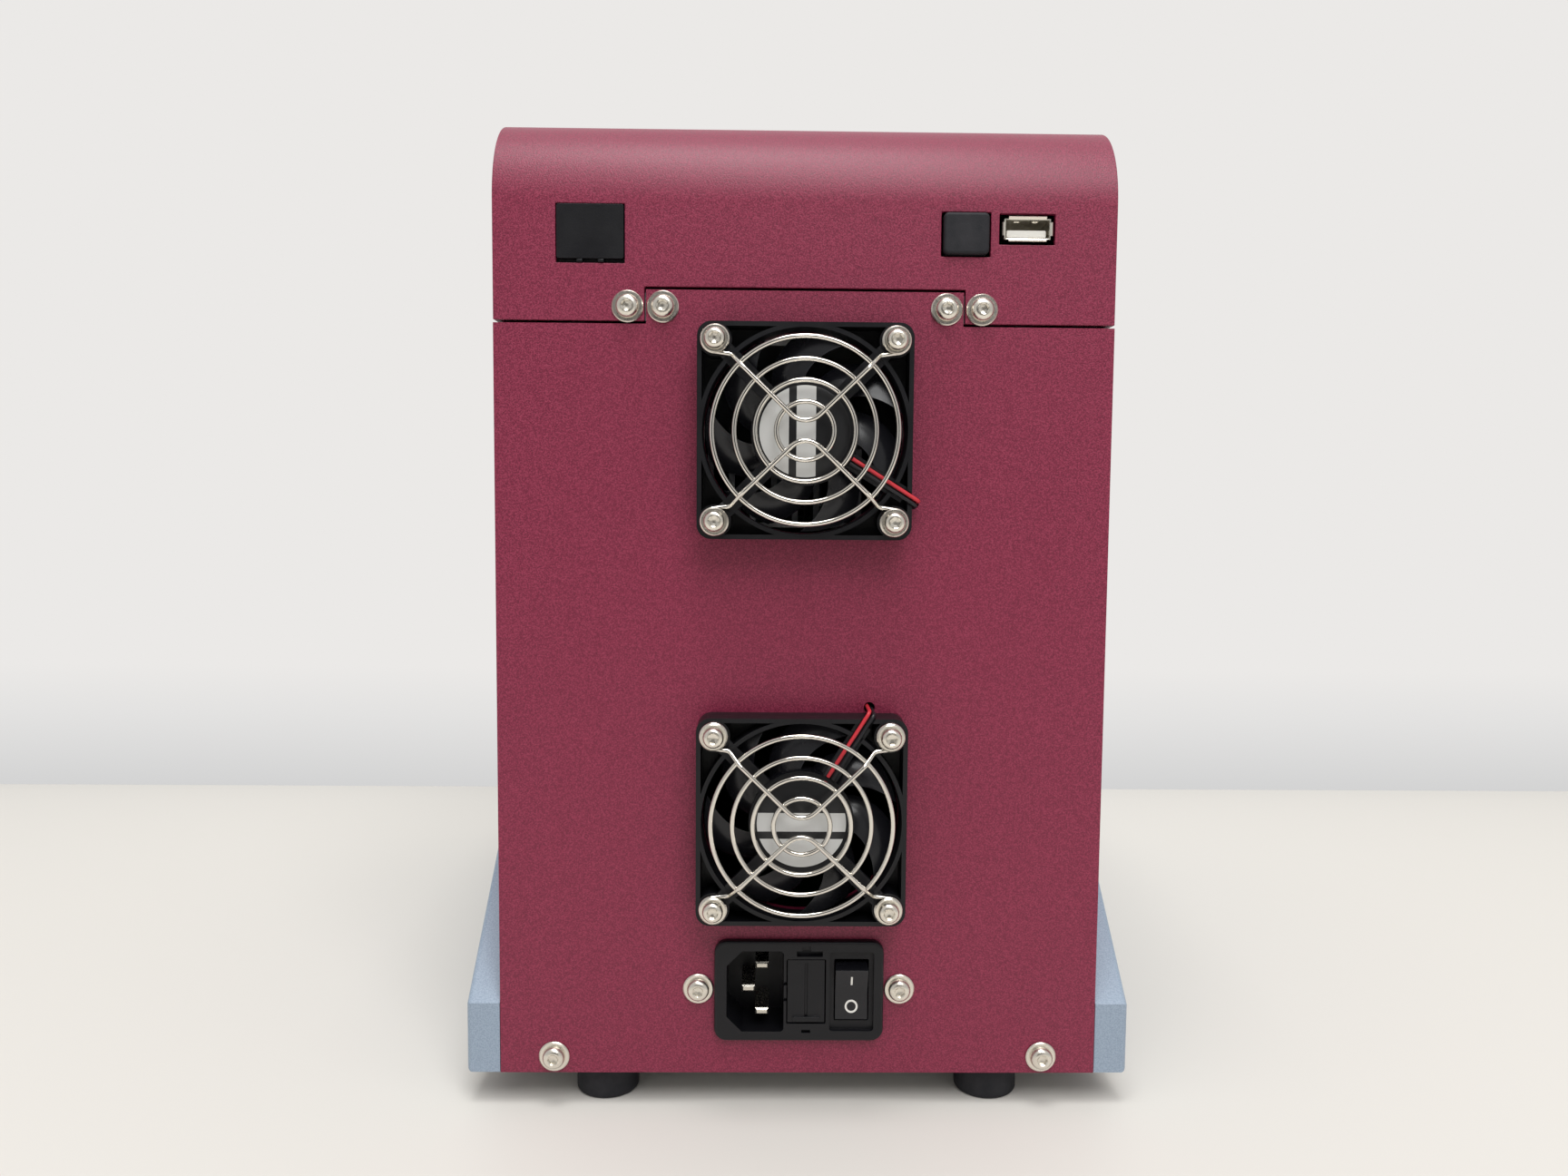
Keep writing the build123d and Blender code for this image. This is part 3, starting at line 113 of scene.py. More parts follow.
def texturedCoat(name):
    # Polyester powder baked on steel sheet: a fine orange-peel relief, lighter on its crests, with a soft
    # sheen. The real peel is about 0.3 mm across and is drawn a little coarser, so that the render shows it
    look = coats[name]
    material, tree, shader, coords = newMaterial(name, {
        "Specular IOR Level": look["specular"], "Coat Weight": look["coat"],
        "Coat Roughness": look["coatRoughness"]})
    peel = addNode(tree, "ShaderNodeTexNoise", {
        "Scale": 1 / (look["grain"] * mm), "Detail": 2.0, "Roughness": 0.6}, {"Vector": coords})
    cloud = addNode(tree, "ShaderNodeTexNoise", {"Scale": 1 / (look["cloud"] * mm), "Detail": 1.0},
                    {"Vector": coords})
    stops = zip(look["stops"], (look["dark"], look["body"], look["light"]))
    speck = addNode(tree, "ShaderNodeValToRGB", {"stops": list(stops)}, {"Fac": peel})
    soft = addNode(tree, "ShaderNodeValToRGB", {"stops": [(0.3, "#B9B9B9"), (0.7, "#C6C6C6")]},
                   {"Fac": cloud})
    mixed = addNode(tree, "ShaderNodeMix", {
        "data_type": "RGBA", "blend_type": "MULTIPLY", 0: look["cloudShare"]}, {6: speck, 7: soft})
    gloss = addNode(tree, "ShaderNodeMapRange", {
        **noiseMiddle, "To Min": look["gloss"][0], "To Max": look["gloss"][1]}, {"Value": peel})
    relief = addNode(tree, "ShaderNodeBump", {"Strength": 1.0, "Distance": look["relief"] * mm},
                     {"Height": peel})
    feed(tree, shader, {"Base Color": mixed.outputs[2], "Roughness": gloss, "Normal": relief})
    return material


# Finishes of one even colour: colour, roughness, grain size and relief in millimetres, specular level
plastics = {
    "mattBlackAbs": ("#0F0F13", 0.42, 0.35, 0.02, 0.34),
    "glossBlackPbt": ("#17171B", 0.24, 0.5, 0.006, 0.4),
    "greyMouldedAbs": ("#8B8F94", 0.5, 0.35, 0.02, 0.4),
    "whiteMouldedLcp": ("#E9E7E1", 0.45, 0.3, 0.01, 0.4),
    "firedAluminaCeramic": ("#E6E4DE", 0.4, 0.6, 0.01, 0.4),
    "redPvcSleeve": ("#C4303A", 0.36, 0.6, 0.004, 0.4),
    "blackPvcSleeve": ("#1B1A1E", 0.36, 0.6, 0.004, 0.4),
    "whiteMarkInk": ("#E4E2DC", 0.45, 0.4, 0.002, 0.4),
}
wipeLook = {"size": 9.0, "shift": 0.06}


def evenPlastic(name):
    # An even colour, the fine grain of a spark-eroded mould and faint wipe marks that shift the gloss
    colour, roughness, grainSize, relief, specular = plastics[name]
    material, tree, shader, coords = newMaterial(name, {"Base Color": colour, "Specular IOR Level": specular})
    grain = addNode(tree, "ShaderNodeTexNoise", {"Scale": 1 / (grainSize * mm), "Detail": 2.0},
                    {"Vector": coords})
    wipe = addNode(tree, "ShaderNodeTexNoise", {
        "Scale": 1 / (wipeLook["size"] * mm), "Detail": 3.0, "Roughness": 0.6}, {"Vector": coords})
    gloss = addNode(tree, "ShaderNodeMapRange", {
        **noiseMiddle, "To Min": roughness - wipeLook["shift"], "To Max": roughness + wipeLook["shift"]},
        {"Value": wipe})
    bumps = addNode(tree, "ShaderNodeBump", {"Strength": 1.0, "Distance": relief * mm}, {"Height": grain})
    feed(tree, shader, {"Roughness": gloss, "Normal": bumps})
    return material


rubbers = {
    "mouldedBlackRubber": {"colour": "#17181D", "bloom": "#29282C", "roughness": 0.62},
    "orangeSiliconeHeater": {"colour": "#A9502C", "bloom": "#29282C", "roughness": 0.5},
}
poreLook = {"size": 0.4, "depth": 0.03, "bloomSize": 6.0, "specular": 0.3}


def mouldedRubber(name):
    # Dull rubber with fine pores and a trace of grey bloom
    look = rubbers[name]
    material, tree, shader, coords = newMaterial(name, {
        "Roughness": look["roughness"], "Specular IOR Level": poreLook["specular"]})
    bloom = addNode(tree, "ShaderNodeTexNoise", {
        "Scale": 1 / (poreLook["bloomSize"] * mm), "Detail": 4.0, "Roughness": 0.6}, {"Vector": coords})
    colour = addNode(tree, "ShaderNodeValToRGB", {"stops": [(0.35, look["colour"]), (0.75, look["bloom"])]},
                     {"Fac": bloom})
    pores = addNode(tree, "ShaderNodeTexNoise", {"Scale": 1 / (poreLook["size"] * mm), "Detail": 2.0},
                    {"Vector": coords})
    relief = addNode(tree, "ShaderNodeBump", {"Strength": 1.0, "Distance": poreLook["depth"] * mm},
                     {"Height": pores})
    feed(tree, shader, {"Base Color": colour, "Normal": relief})
    return material


# Colour, roughness, width and length of a drawing mark, how far the gloss wanders, and relief
metals = {
    "zincPlatedSheet": ("#B9BBBB", 0.42, (0.5, 6.0), 0.07, 0.004),
    "polishedStainless": ("#E4DED2", 0.3, (0.6, 2.0), 0.03, 0.001),
    "nickelPlatedWire": ("#DDD8CF", 0.1, (0.4, 0.4), 0.05, 0.002),
    "machinedAluminium": ("#C9CBCD", 0.34, (0.25, 8.0), 0.08, 0.006),
    "nickelPlatedPins": ("#CFCBC0", 0.24, (0.3, 2.0), 0.07, 0.004),
}


def drawnMetal(name):
    # Bare or plated metal: fine drawing marks that run along Y, and small changes in gloss
    colour, roughness, (width, length), shift, relief = metals[name]
    material, tree, shader, coords = newMaterial(name, {"Base Color": colour, "Metallic": 1.0})
    across, along = 1 / (width * mm), 1 / (length * mm)
    stretch = addNode(tree, "ShaderNodeMapping", {"Scale": (across, along, across)}, {"Vector": coords})
    marks = addNode(tree, "ShaderNodeTexNoise", {"Scale": 1.0, "Detail": 2.0}, {"Vector": stretch})
    gloss = addNode(tree, "ShaderNodeMapRange", {
        **noiseMiddle, "To Min": roughness - shift, "To Max": roughness + shift}, {"Value": marks})
    bumps = addNode(tree, "ShaderNodeBump", {"Strength": 1.0, "Distance": relief * mm}, {"Height": marks})
    feed(tree, shader, {"Roughness": gloss, "Normal": bumps})
    return material


boardLook = {"mask": "#174A29", "overCopper": "#1E5A33", "trackPitch": 3.2, "grain": 0.5, "relief": 0.01,
             "roughness": 0.32, "ior": 1.55}


def greenSolderMask():
    # Solder mask over glass fibre: lighter where copper lies under it, with a trace of the weave
    look = boardLook
    material, tree, shader, coords = newMaterial("greenSolderMask", {
        "Roughness": look["roughness"], "IOR": look["ior"]})
    tracks = addNode(tree, "ShaderNodeTexVoronoi", {
        "feature": "F1", "distance": "MANHATTAN", "Scale": 1 / (look["trackPitch"] * mm)}, {"Vector": coords})
    stops = [(0.25, look["overCopper"]), (0.32, look["mask"])]
    colour = addNode(tree, "ShaderNodeValToRGB", {"stops": stops}, {"Fac": tracks.outputs["Distance"]})
    weave = addNode(tree, "ShaderNodeTexNoise", {"Scale": 1 / (look["grain"] * mm), "Detail": 1.0},
                    {"Vector": coords})
    relief = addNode(tree, "ShaderNodeBump", {"Strength": 1.0, "Distance": look["relief"] * mm},
                     {"Height": weave})
    feed(tree, shader, {"Base Color": colour, "Normal": relief})
    return material


glassLook = {"colour": "#0B0C0F", "smear": 22.0, "gloss": (0.05, 0.16)}


def darkCoverGlass():
    # Cover glass of the touch screen, black with the display off, with faint finger smears in its gloss
    look = glassLook
    material, tree, shader, coords = newMaterial("darkCoverGlass", {
        "Base Color": look["colour"], "IOR": 1.5, "Coat Weight": 1.0, "Coat Roughness": 0.02})
    smear = addNode(tree, "ShaderNodeTexNoise", {
        "Scale": 1 / (look["smear"] * mm), "Detail": 4.0, "Roughness": 0.6}, {"Vector": coords})
    gloss = addNode(tree, "ShaderNodeMapRange", {
        **noiseMiddle, "To Min": look["gloss"][0], "To Max": look["gloss"][1]}, {"Value": smear})
    feed(tree, shader, {"Roughness": gloss})
    return material


finishes = {"greenSolderMask": greenSolderMask(), "darkCoverGlass": darkCoverGlass()}
for finishName in coats:
    finishes[finishName] = texturedCoat(finishName)
for finishName in plastics:
    finishes[finishName] = evenPlastic(finishName)
for finishName in rubbers:
    finishes[finishName] = mouldedRubber(finishName)
for finishName in metals:
    finishes[finishName] = drawnMetal(finishName)
print("materials made")

finishOfSlot = {
    "burgundy_coat": "texturedPowderCoat", "blue_coat": "fineTextureBluePaint",
    "black_plastic": "mattBlackAbs", "gloss_black": "glossBlackPbt", "black_rubber": "mouldedBlackRubber",
    "steel_sheet": "zincPlatedSheet", "bright_steel": "polishedStainless", "bright_wire": "nickelPlatedWire",
    "plain_aluminium": "machinedAluminium", "brass_plate": "nickelPlatedPins",
    "fuse_glass": "nickelPlatedPins", "white_plastic": "whiteMouldedLcp", "grey_plastic": "greyMouldedAbs",
    "screen_glass": "darkCoverGlass", "board_green": "greenSolderMask", "white_ceramic": "firedAluminaCeramic",
    "red_sleeve": "redPvcSleeve", "black_sleeve": "blackPvcSleeve", "heater_rubber": "orangeSiliconeHeater",
}
slotOf = {part["node"]: part["material_slot"] for part in frame["record"]["subparts"]}
bodyOf = {node: body for body, nodes in frame["record"]["behaviour"]["bodies"].items() for node in nodes}
for name, node in frame["nodes"].items():
    node.data.materials.clear()
    node.data.materials.append(finishes[finishOfSlot[slotOf[name]]])
print("frame nodes finished")

edgeLook = {"sharpAngle": 30.0, "flatAngle": 0.5, "segments": 2}

# Radius in millimetres on each piece's edges; 0 only smooths its curves
skins = {
    "hood": 0.35, "back_panel": 0.25, "lid_shell": 0.0, "front_fascia": 0.0, "cheek_right": 0.0,
    "cheek_left": 0.0, "inlet_body": 0.2, "fuse_drawer": 0.15, "power_rocker": 0.3, "upper_fan_frame": 0.0,
    "lower_fan_frame": 0.0, "rubber_feet": 0.0, "rubber_cap": 0.9, "usb_receptacle": 0.0, "blank_plug": 0.2,
    "fan_leads_red": 0.0, "fan_leads_black": 0.0, "latch_lever": 0.3, "tube_wells": 0.0, "heated_plate": 0.0,
    "touch_screen": 0.3,
}


def softened(name, width):
    # A welded copy of a frame node, smooth on its curves, with its sharp edges rounded
    sharpAngle, flatAngle = math.radians(edgeLook["sharpAngle"]), math.radians(edgeLook["flatAngle"])
    mesh = frame["nodes"][name].data.copy()
    shape = bmesh.new()
    shape.from_mesh(mesh)
    bmesh.ops.remove_doubles(shape, verts=shape.verts, dist=weldGap["node"])
    bmesh.ops.dissolve_limit(shape, angle_limit=flatAngle, verts=shape.verts, edges=shape.edges)
    for face in shape.faces:
        face.smooth = True
    shape.to_mesh(mesh)
    shape.free()
    piece = bpy.data.objects.new(name + "_skin", mesh)
    bpy.context.scene.collection.objects.link(piece)
    if width:
        rounding = piece.modifiers.new("edges", "BEVEL")
        rounding.width = width * mm
        rounding.segments = edgeLook["segments"]
        rounding.limit_method = "ANGLE"
        rounding.angle_limit = sharpAngle
        rounding.use_clamp_overlap = True
        piece.modifiers.new("normals", "WEIGHTED_NORMAL").keep_sharp = True
    else:
        mesh.set_sharp_from_angle(angle=sharpAngle)
    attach(piece, bodyOf[name])
    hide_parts(name)


for name, width in skins.items():
    softened(name, width)
print("skins over the frame nodes made")


def gridMesh(name, points, closeAround=False, closeAlong=False, capEnds=False):
    # Quads over a grid of points: rows run along the shape and columns around it
    rows, columns = points.shape[:2]
    ids = np.arange(rows * columns).reshape(rows, columns)
    if closeAlong:
        ids = np.vstack([ids, ids[:1]])
    if closeAround:
        ids = np.hstack([ids, ids[:, :1]])
    quads = np.stack([ids[:-1, :-1], ids[:-1, 1:], ids[1:, 1:], ids[1:, :-1]], axis=-1).reshape(-1, 4)
    faces = quads.tolist()
    if capEnds:
        faces += [np.arange(columns)[::-1].tolist(), (np.arange(columns) + (rows - 1) * columns).tolist()]
    mesh = bpy.data.meshes.new(name)
    mesh.from_pydata(points.reshape(-1, 3).tolist(), [], faces)
    shape = bmesh.new()
    shape.from_mesh(mesh)
    bmesh.ops.remove_doubles(shape, verts=shape.verts, dist=weldGap["grid"])
    bmesh.ops.recalc_face_normals(shape, faces=shape.faces)
    for face in shape.faces:
        face.smooth = True
    shape.to_mesh(mesh)
    shape.free()
    return mesh


def joined(name, meshes):
    # Several meshes as one
    shape = bmesh.new()
    for mesh in meshes:
        shape.from_mesh(mesh)
    result = bpy.data.meshes.new(name)
    shape.to_mesh(result)
    shape.free()
    return result


def addPiece(name, mesh, material, body, replaces=(), sharp=35.0):
    # Puts a mesh in the scene as a piece that rides on a body; sharp is the angle from which an edge is hard
    mesh.materials.clear()
    mesh.materials.append(material)
    if sharp:
        mesh.set_sharp_from_angle(angle=math.radians(sharp))
    piece = bpy.data.objects.new(name, mesh)
    bpy.context.scene.collection.objects.link(piece)
    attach(piece, body)
    if replaces:
        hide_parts(*replaces)


def circle(radius, height, turn):
    # Points at an angle of turn on a circle that faces the back, as (across, out, up)
    return np.stack([radius * np.cos(turn), np.full_like(turn, height), radius * np.sin(turn)], axis=-1)


def fullTurn(count):
    # Even angles once round, without the one that closes the circle
    return np.linspace(0, 2 * np.pi, count, endpoint=False)


def tube(name, path, radius, sides, closed=False, reference=(0, 1, 0)):
    # Round tube: at each point of the path a circle of the radius lies square to the path's direction
    path = np.asarray(path, float)
    if closed:
        tangent = np.roll(path, -1, axis=0) - np.roll(path, 1, axis=0)
    else:
        tangent = np.gradient(path, axis=0)
    tangent /= np.linalg.norm(tangent, axis=1, keepdims=True)
    across = np.cross(tangent, np.asarray(reference, float))
    across /= np.linalg.norm(across, axis=1, keepdims=True)
    over = np.cross(across, tangent)
    turn = fullTurn(sides)[None, :, None]
    ring = np.cos(turn) * across[:, None, :] + np.sin(turn) * over[:, None, :]
    points = path[:, None, :] + radius * ring
    return gridMesh(name, points, closeAround=True, closeAlong=closed, capEnds=not closed)


def roundedPath(corners, radii, steps=9):
    # Straight runs joined by tangent arcs: each inner corner has its own radius, and its arc starts where
    # radius divided by the tangent of half the corner's angle has been cut off both runs
    pieces = [corners[:1]]
    for before, corner, after, radius in zip(corners[:-2], corners[1:-1], corners[2:], radii):
        back = (before - corner) / np.linalg.norm(before - corner)
        ahead = (after - corner) / np.linalg.norm(after - corner)
        half = math.acos(float(np.clip(back @ ahead, -1, 1))) / 2
        reach = radius / math.tan(half)
        middle = (back + ahead) / np.linalg.norm(back + ahead)
        centre = corner + middle * radius / math.sin(half)
        start = corner + back * reach - centre
        end = corner + ahead * reach - centre
        sweep = math.pi - 2 * half
        t = np.linspace(0, 1, steps)[:, None]
        arc = (np.sin((1 - t) * sweep) * start + np.sin(t * sweep) * end) / math.sin(sweep)
        pieces.append(centre + arc)
    pieces.append(corners[-1:])
    return np.vstack(pieces)


def revolved(name, profile, centre, count):
    # Surface of revolution: (radius, out) profile points turned round an axis that faces the back
    profile = np.asarray(profile, float)
    turn = fullTurn(count)
    radius = profile[:, 0][:, None]
    out = np.repeat(profile[:, 1][:, None], count, axis=1)
    points = np.stack([radius * np.cos(turn), out, radius * np.sin(turn)], axis=-1)
    return gridMesh(name, (points + np.asarray(centre, float)) * mm, closeAround=True)


def middleOf(name, axis):
    # Middle of a frame node's box along one axis, in millimetres
    low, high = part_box(name)
    return (low[axis] + high[axis]) / 2 / mm


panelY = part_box("back_panel")[1][1] / mm
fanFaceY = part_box("upper_fan_frame")[1][1] / mm
fanHeights = {"upper": middleOf("upper_fan_frame", 2), "lower": middleOf("lower_fan_frame", 2)}

# Lift is from the frame's face to the rings, and apex how far a leg stays from the centre. Before its eye a
# leg comes down from the rings: it leaves them leaveRings and meets the frame reachFrame inside the eye
guardLook = {"wire": 1.42, "rings": (8.0, 13.9, 19.6, 25.7), "lift": 3.4, "legOverRing": 1.7, "screw": 25.0,
             "eye": 3.5, "eyeArc": (-90, 205), "apex": 0.6, "bends": (2.0, 2.4, 5.6, 2.4, 2.0),
             "leaveRings": 4.2, "reachFrame": (0.9, 0.6), "ringPoints": 120, "eyePoints": 40, "sides": 12}


def wireGuard(name, height):
    # Finger guard: round wire along four circles, and along two legs that cross them. Each leg is an open
    # screw eye, a bent run up to the rings, a rounded corner near the centre and the same again, mirrored
    look = guardLook
    wire = look["wire"] / 2
    ringY = fanFaceY + look["lift"]
    legY = ringY + wire * look["legOverRing"]
    eyeY = fanFaceY + wire
    centre = np.array([0.0, 0.0, height])
    parts = []
    for radius in look["rings"]:
        ring = circle(radius, ringY, fullTurn(look["ringPoints"])) + centre
        parts.append(tube(name, ring * mm, wire * mm, look["sides"], closed=True))
    screw = look["screw"]
    low = screw - look["eye"]
    leave, (reachAcross, reachUp) = low - look["leaveRings"], look["reachFrame"]
    eyeTurn = np.radians(np.linspace(*look["eyeArc"], look["eyePoints"]))
    arc = circle(look["eye"], eyeY, eyeTurn) + np.array([screw, 0.0, screw])
    run = np.array([[leave, legY, leave], [low - reachAcross, eyeY, low - reachUp], [screw, eyeY, low]])
    right = np.vstack([run, arc[1:]])
    left = right * np.array([-1, 1, 1])
    corners = np.vstack([left[2::-1], [[0, legY, look["apex"]]], right[:3]])
    leg = np.vstack([left[:2:-1], roundedPath(corners, look["bends"]), right[3:]])
    for side in (1, -1):
        path = leg * np.array([1, 1, side]) + centre
        parts.append(tube(name, path * mm, wire * mm, look["sides"]))
    return joined(name, parts)


for place, height in fanHeights.items():
    name = place + "GuardWire"
    addPiece(name, wireGuard(name, height), finishes["nickelPlatedWire"], "case",
             [place + "_fan_guard"], sharp=0)

# Front and back are the cup's reach from the panel; sweep and chord are angles in degrees
rotorLook = {"blades": 7, "hub": 14.8, "tip": 27.8, "front": 7.3, "back": 1.2, "floor": 3.4, "wall": 1.4,
             "chamfer": 1.0, "sweep": 34.0, "sweepGrowth": 1.2, "chord": 37.0, "taper": 0.12, "thick": 0.9,
             "camber": 0.18, "edgeShare": 0.45, "margin": 0.4, "spanPoints": 14, "sectionPoints": 22,
             "count": 64}


def fanRotor(name, height):
    # A cup with blades round it. A blade's section is a closed loop: chord runs there and back along the
    # blade, camber arches it and fat, the half thickness, is largest in the middle. Across the span the
    # section's angle grows with a power of the share of the radius, and its chord gets slightly shorter
    look = rotorLook
    hub, front, back = look["hub"], look["front"], look["back"]
    inner = hub - look["wall"]
    profile = [(0, back), (hub - look["chamfer"], back), (hub, back + look["chamfer"]), (hub, front),
               (inner, front), (inner, look["floor"]), (0, look["floor"])]
    parts = [revolved(name, profile, (0, panelY, height), look["count"])]
    radial = np.linspace(hub - 0.6, look["tip"], look["spanPoints"])[:, None]  # the root lies inside the cup
    share = (radial - radial[0]) / (radial[-1] - radial[0])
    around = fullTurn(look["sectionPoints"])[None, :]
    chord = (np.cos(around) + 1) / 2
    camber = look["camber"] * np.sin(np.pi * chord)
    fullness = look["edgeShare"] + (1 - look["edgeShare"]) * np.sin(np.pi * np.clip(chord, 0.02, 0.98))
    fat = look["thick"] / 2 * np.sin(around) * fullness
    rise = back + look["margin"] + (front - back - 2 * look["margin"]) * (chord + camber * (1 - chord)) / 1.02
    sweep = np.radians(look["sweep"]) * share ** look["sweepGrowth"]
    spread = np.radians(look["chord"]) * chord * (1 - look["taper"] * share)
    for blade in range(look["blades"]):
        # 0.6 and 0.8 lay the thickness square to the blade
        angle = sweep + spread + 2 * np.pi * blade / look["blades"] + fat / radial * 0.6
        out = np.broadcast_to(rise + fat * 0.8, angle.shape)
        points = np.stack([radial * np.cos(angle), out, radial * np.sin(angle)], axis=-1)
        points = (points + np.array([0, panelY, height])) * mm
        parts.append(gridMesh(name, points, closeAround=True, capEnds=True))
    return joined(name, parts)


for place, height in fanHeights.items():
    name = place + "RotorForm"
    addPiece(name, fanRotor(name, height), finishes["glossBlackPbt"], place + "_fan",
             [place + "_fan_rotor"], sharp=40)
print("fan guards and rotors made")

# Bands are plain dark stripes, from and to, in millimetres from the label's middle
labelLook = {"radius": 12.7, "thickness": 0.12, "bevel": 0.1, "bands": ((-4.5, -2.4), (3.0, 13.6)),
             "reach": 16.0, "silver": "#CFCFCD", "dark": "#141417", "roughness": 0.36, "ripple": 3.0,
             "relief": 0.01, "count": 96}
labelBandsAlong = {"upper": "X", "lower": "Z"}


def labelFoil(name, height, along):
    # Silvery label foil with plain dark bands: the place along one axis picks the band
    look = labelLook
    reach = look["reach"]
    middle, sign = (height, 1) if along == "Z" else (0.0, -1)
    material, tree, shader, coords = newMaterial(name, {"Roughness": look["roughness"]})
    split = addNode(tree, "ShaderNodeSeparateXYZ", None, {"Vector": coords})
    place = addNode(tree, "ShaderNodeMapRange", {
        "From Min": (middle - reach * sign) * mm, "From Max": (middle + reach * sign) * mm},
        {"Value": split.outputs[along]})
    stops = [(0.0, look["silver"])]
    for low, high in look["bands"]:
        stops += [((low + reach) / (2 * reach), look["dark"]), ((high + reach) / (2 * reach), look["silver"])]
    colour = addNode(tree, "ShaderNodeValToRGB", {"stops": stops}, {"Fac": place})
    colour.color_ramp.interpolation = "CONSTANT"
    ripple = addNode(tree, "ShaderNodeTexNoise", {"Scale": 1 / (look["ripple"] * mm), "Detail": 2.0},
                     {"Vector": coords})
    relief = addNode(tree, "ShaderNodeBump", {"Strength": 1.0, "Distance": look["relief"] * mm},
                     {"Height": ripple})
    feed(tree, shader, {"Base Color": colour, "Normal": relief})
    return material


def motorLabel(name, height, along):
    # A thin disc with a bevelled edge, laid on the fan's motor plate
    radius, thick, bevel = labelLook["radius"], labelLook["thickness"], labelLook["bevel"]
    profile = [(0, 0), (radius, 0), (radius, thick * 0.7), (radius - bevel, thick), (0, thick)]
    mesh = revolved(name, profile, (0, fanFaceY, height), labelLook["count"])
    addPiece(name, mesh, labelFoil(name + "Foil", height, along), "case", sharp=30)


cornerLook = {"hole": 28.6, "low": 0.3, "high": 1.1, "inset": 1.2, "count": 96}


def cornerFloors(name, height):
    # Black floors of the frame's corner pockets: a square outline and a round hole, joined point by point
    look = cornerLook
    left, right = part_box("upper_fan_frame")[0][0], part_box("upper_fan_frame")[1][0]
    half = (right - left) / 2 / mm - look["inset"]
    turn = fullTurn(look["count"])
    square = half / np.maximum(np.abs(np.cos(turn)), np.abs(np.sin(turn)))
    hole, low, high = look["hole"], panelY + look["low"], panelY + look["high"]
    section = ((hole, low), (hole, high), (square, high), (square, low))
    points = np.stack([circle(radius, out, turn) for radius, out in section]) + np.array([0, 0, height])
    return gridMesh(name, points * mm, closeAround=True, closeAlong=True)


for place, height in fanHeights.items():
    name = place + "CornerFloors"
    addPiece(name, cornerFloors(name, height), finishes["mattBlackAbs"], "case")
    motorLabel(place + "MotorLabel", height, labelBandsAlong[place])
print("motor labels and pocket floors made")

screwLook = {"panelHead": 3.3, "fanHead": 3.0, "height": 2.2, "rim": 0.35, "socket": 1.3, "deep": 1.4,
             "socketBevel": 0.32, "fullness": 0.9, "domePoints": 12, "count": 72}
washerLook = {"panel": 4.5, "fan": 3.9, "bore": 2.05, "height": 0.8, "count": 64}


def buttonHead(x, z, y, radius):
    # Button head: circles of growing radius down a quarter wave of height make the dome, and the socket's
    # rows are hexagons, whose radius at an angle is the flat's distance over the cosine to the nearest flat
    look = screwLook
    turn = fullTurn(look["count"])
    hexagon = look["socket"] / np.cos((turn + x) % (np.pi / 3) - np.pi / 6)
    top, floor = look["height"], look["height"] - look["deep"]
    bevel = look["socket"] + look["socketBevel"]
    dome = np.linspace(0, 1, look["domePoints"]) * np.pi / 2
    domeRadii = bevel + (radius - bevel) * np.sin(dome)
    domeHeights = look["rim"] + (top - look["rim"]) * np.cos(dome) ** look["fullness"]
    rows = [(hexagon * 0, floor - 0.25), (hexagon * 0.6, floor), (hexagon, floor + 0.1)]
    rows += [(hexagon, top - 0.22), *zip(domeRadii, domeHeights)]
    rows += [(radius, 0.0), (hexagon * 0, 0.0)]
    points = np.stack([circle(rowRadius, out, turn) for rowRadius, out in rows]) + np.array([x, y, z])
    return gridMesh("screwHead", points * mm, closeAround=True)


def washerRing(x, z, y, radius):
    # Flat washer: a square section with rolled edges, turned round the screw's axis
    bore, height = washerLook["bore"], washerLook["height"]
    profile = [(bore, 0), (radius - 0.2, 0), (radius, 0.2), (radius, height - 0.3), (radius - 0.3, height),
               (bore + 0.15, height), (bore, height - 0.15), (bore, 0)]
    return revolved("washer", profile, (x, y, z), washerLook["count"])


def nodeCentres(name):
    # Middles of a frame node's separate solids, found from its loose parts and sorted, so that their order
    # is the same in each run
    shape = bmesh.new()
    shape.from_mesh(frame["nodes"][name].data)
    bmesh.ops.remove_doubles(shape, verts=shape.verts, dist=weldGap["node"])
    left = set(shape.verts)
    centres = []
    while left:
        stack = [left.pop()]
        group = []
        while stack:
            vert = stack.pop()
            group.append(vert.co)
            for edge in vert.link_edges:
                other = edge.other_vert(vert)
                if other in left:
                    left.remove(other)
                    stack.append(other)
        group = np.array(group)
        centres.append((group.min(axis=0) + group.max(axis=0)) / 2 / mm)
    shape.free()
    return sorted(centres, key=lambda centre: tuple(centre.round(3)))


seats = {"panel": panelY, "fan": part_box("fan_washers")[0][1] / mm}  # where each washer lies
steel = finishes["polishedStainless"]
for place, seat in seats.items():
    centres = nodeCentres(place + "_washers")
    headY = seat + washerLook["height"]
    heads = [buttonHead(c[0], c[2], headY, screwLook[place + "Head"]) for c in centres]
    rings = [washerRing(c[0], c[2], seat, washerLook[place]) for c in centres]
    for name, parts, node in (("ScrewHeads", heads, "_screws"), ("WasherRings", rings, "_washers")):
        addPiece(place + name, joined(place + name, parts), steel, "case", [place + node], 32)
print("screws and washers made")

# The rocker's two flats rise by rise over half, from a valley that lies in front of the pivot
rockerLook = {"tilt": 9.0, "pivotDepth": 3.0, "valley": 4.0, "rise": 1.8, "half": 8.0, "markAt": 0.52,
              "barHeight": 3.0, "barWidth": 0.55, "ringOuter": 1.9, "ringInner": 1.35, "ink": 0.06,
              "count": 48}


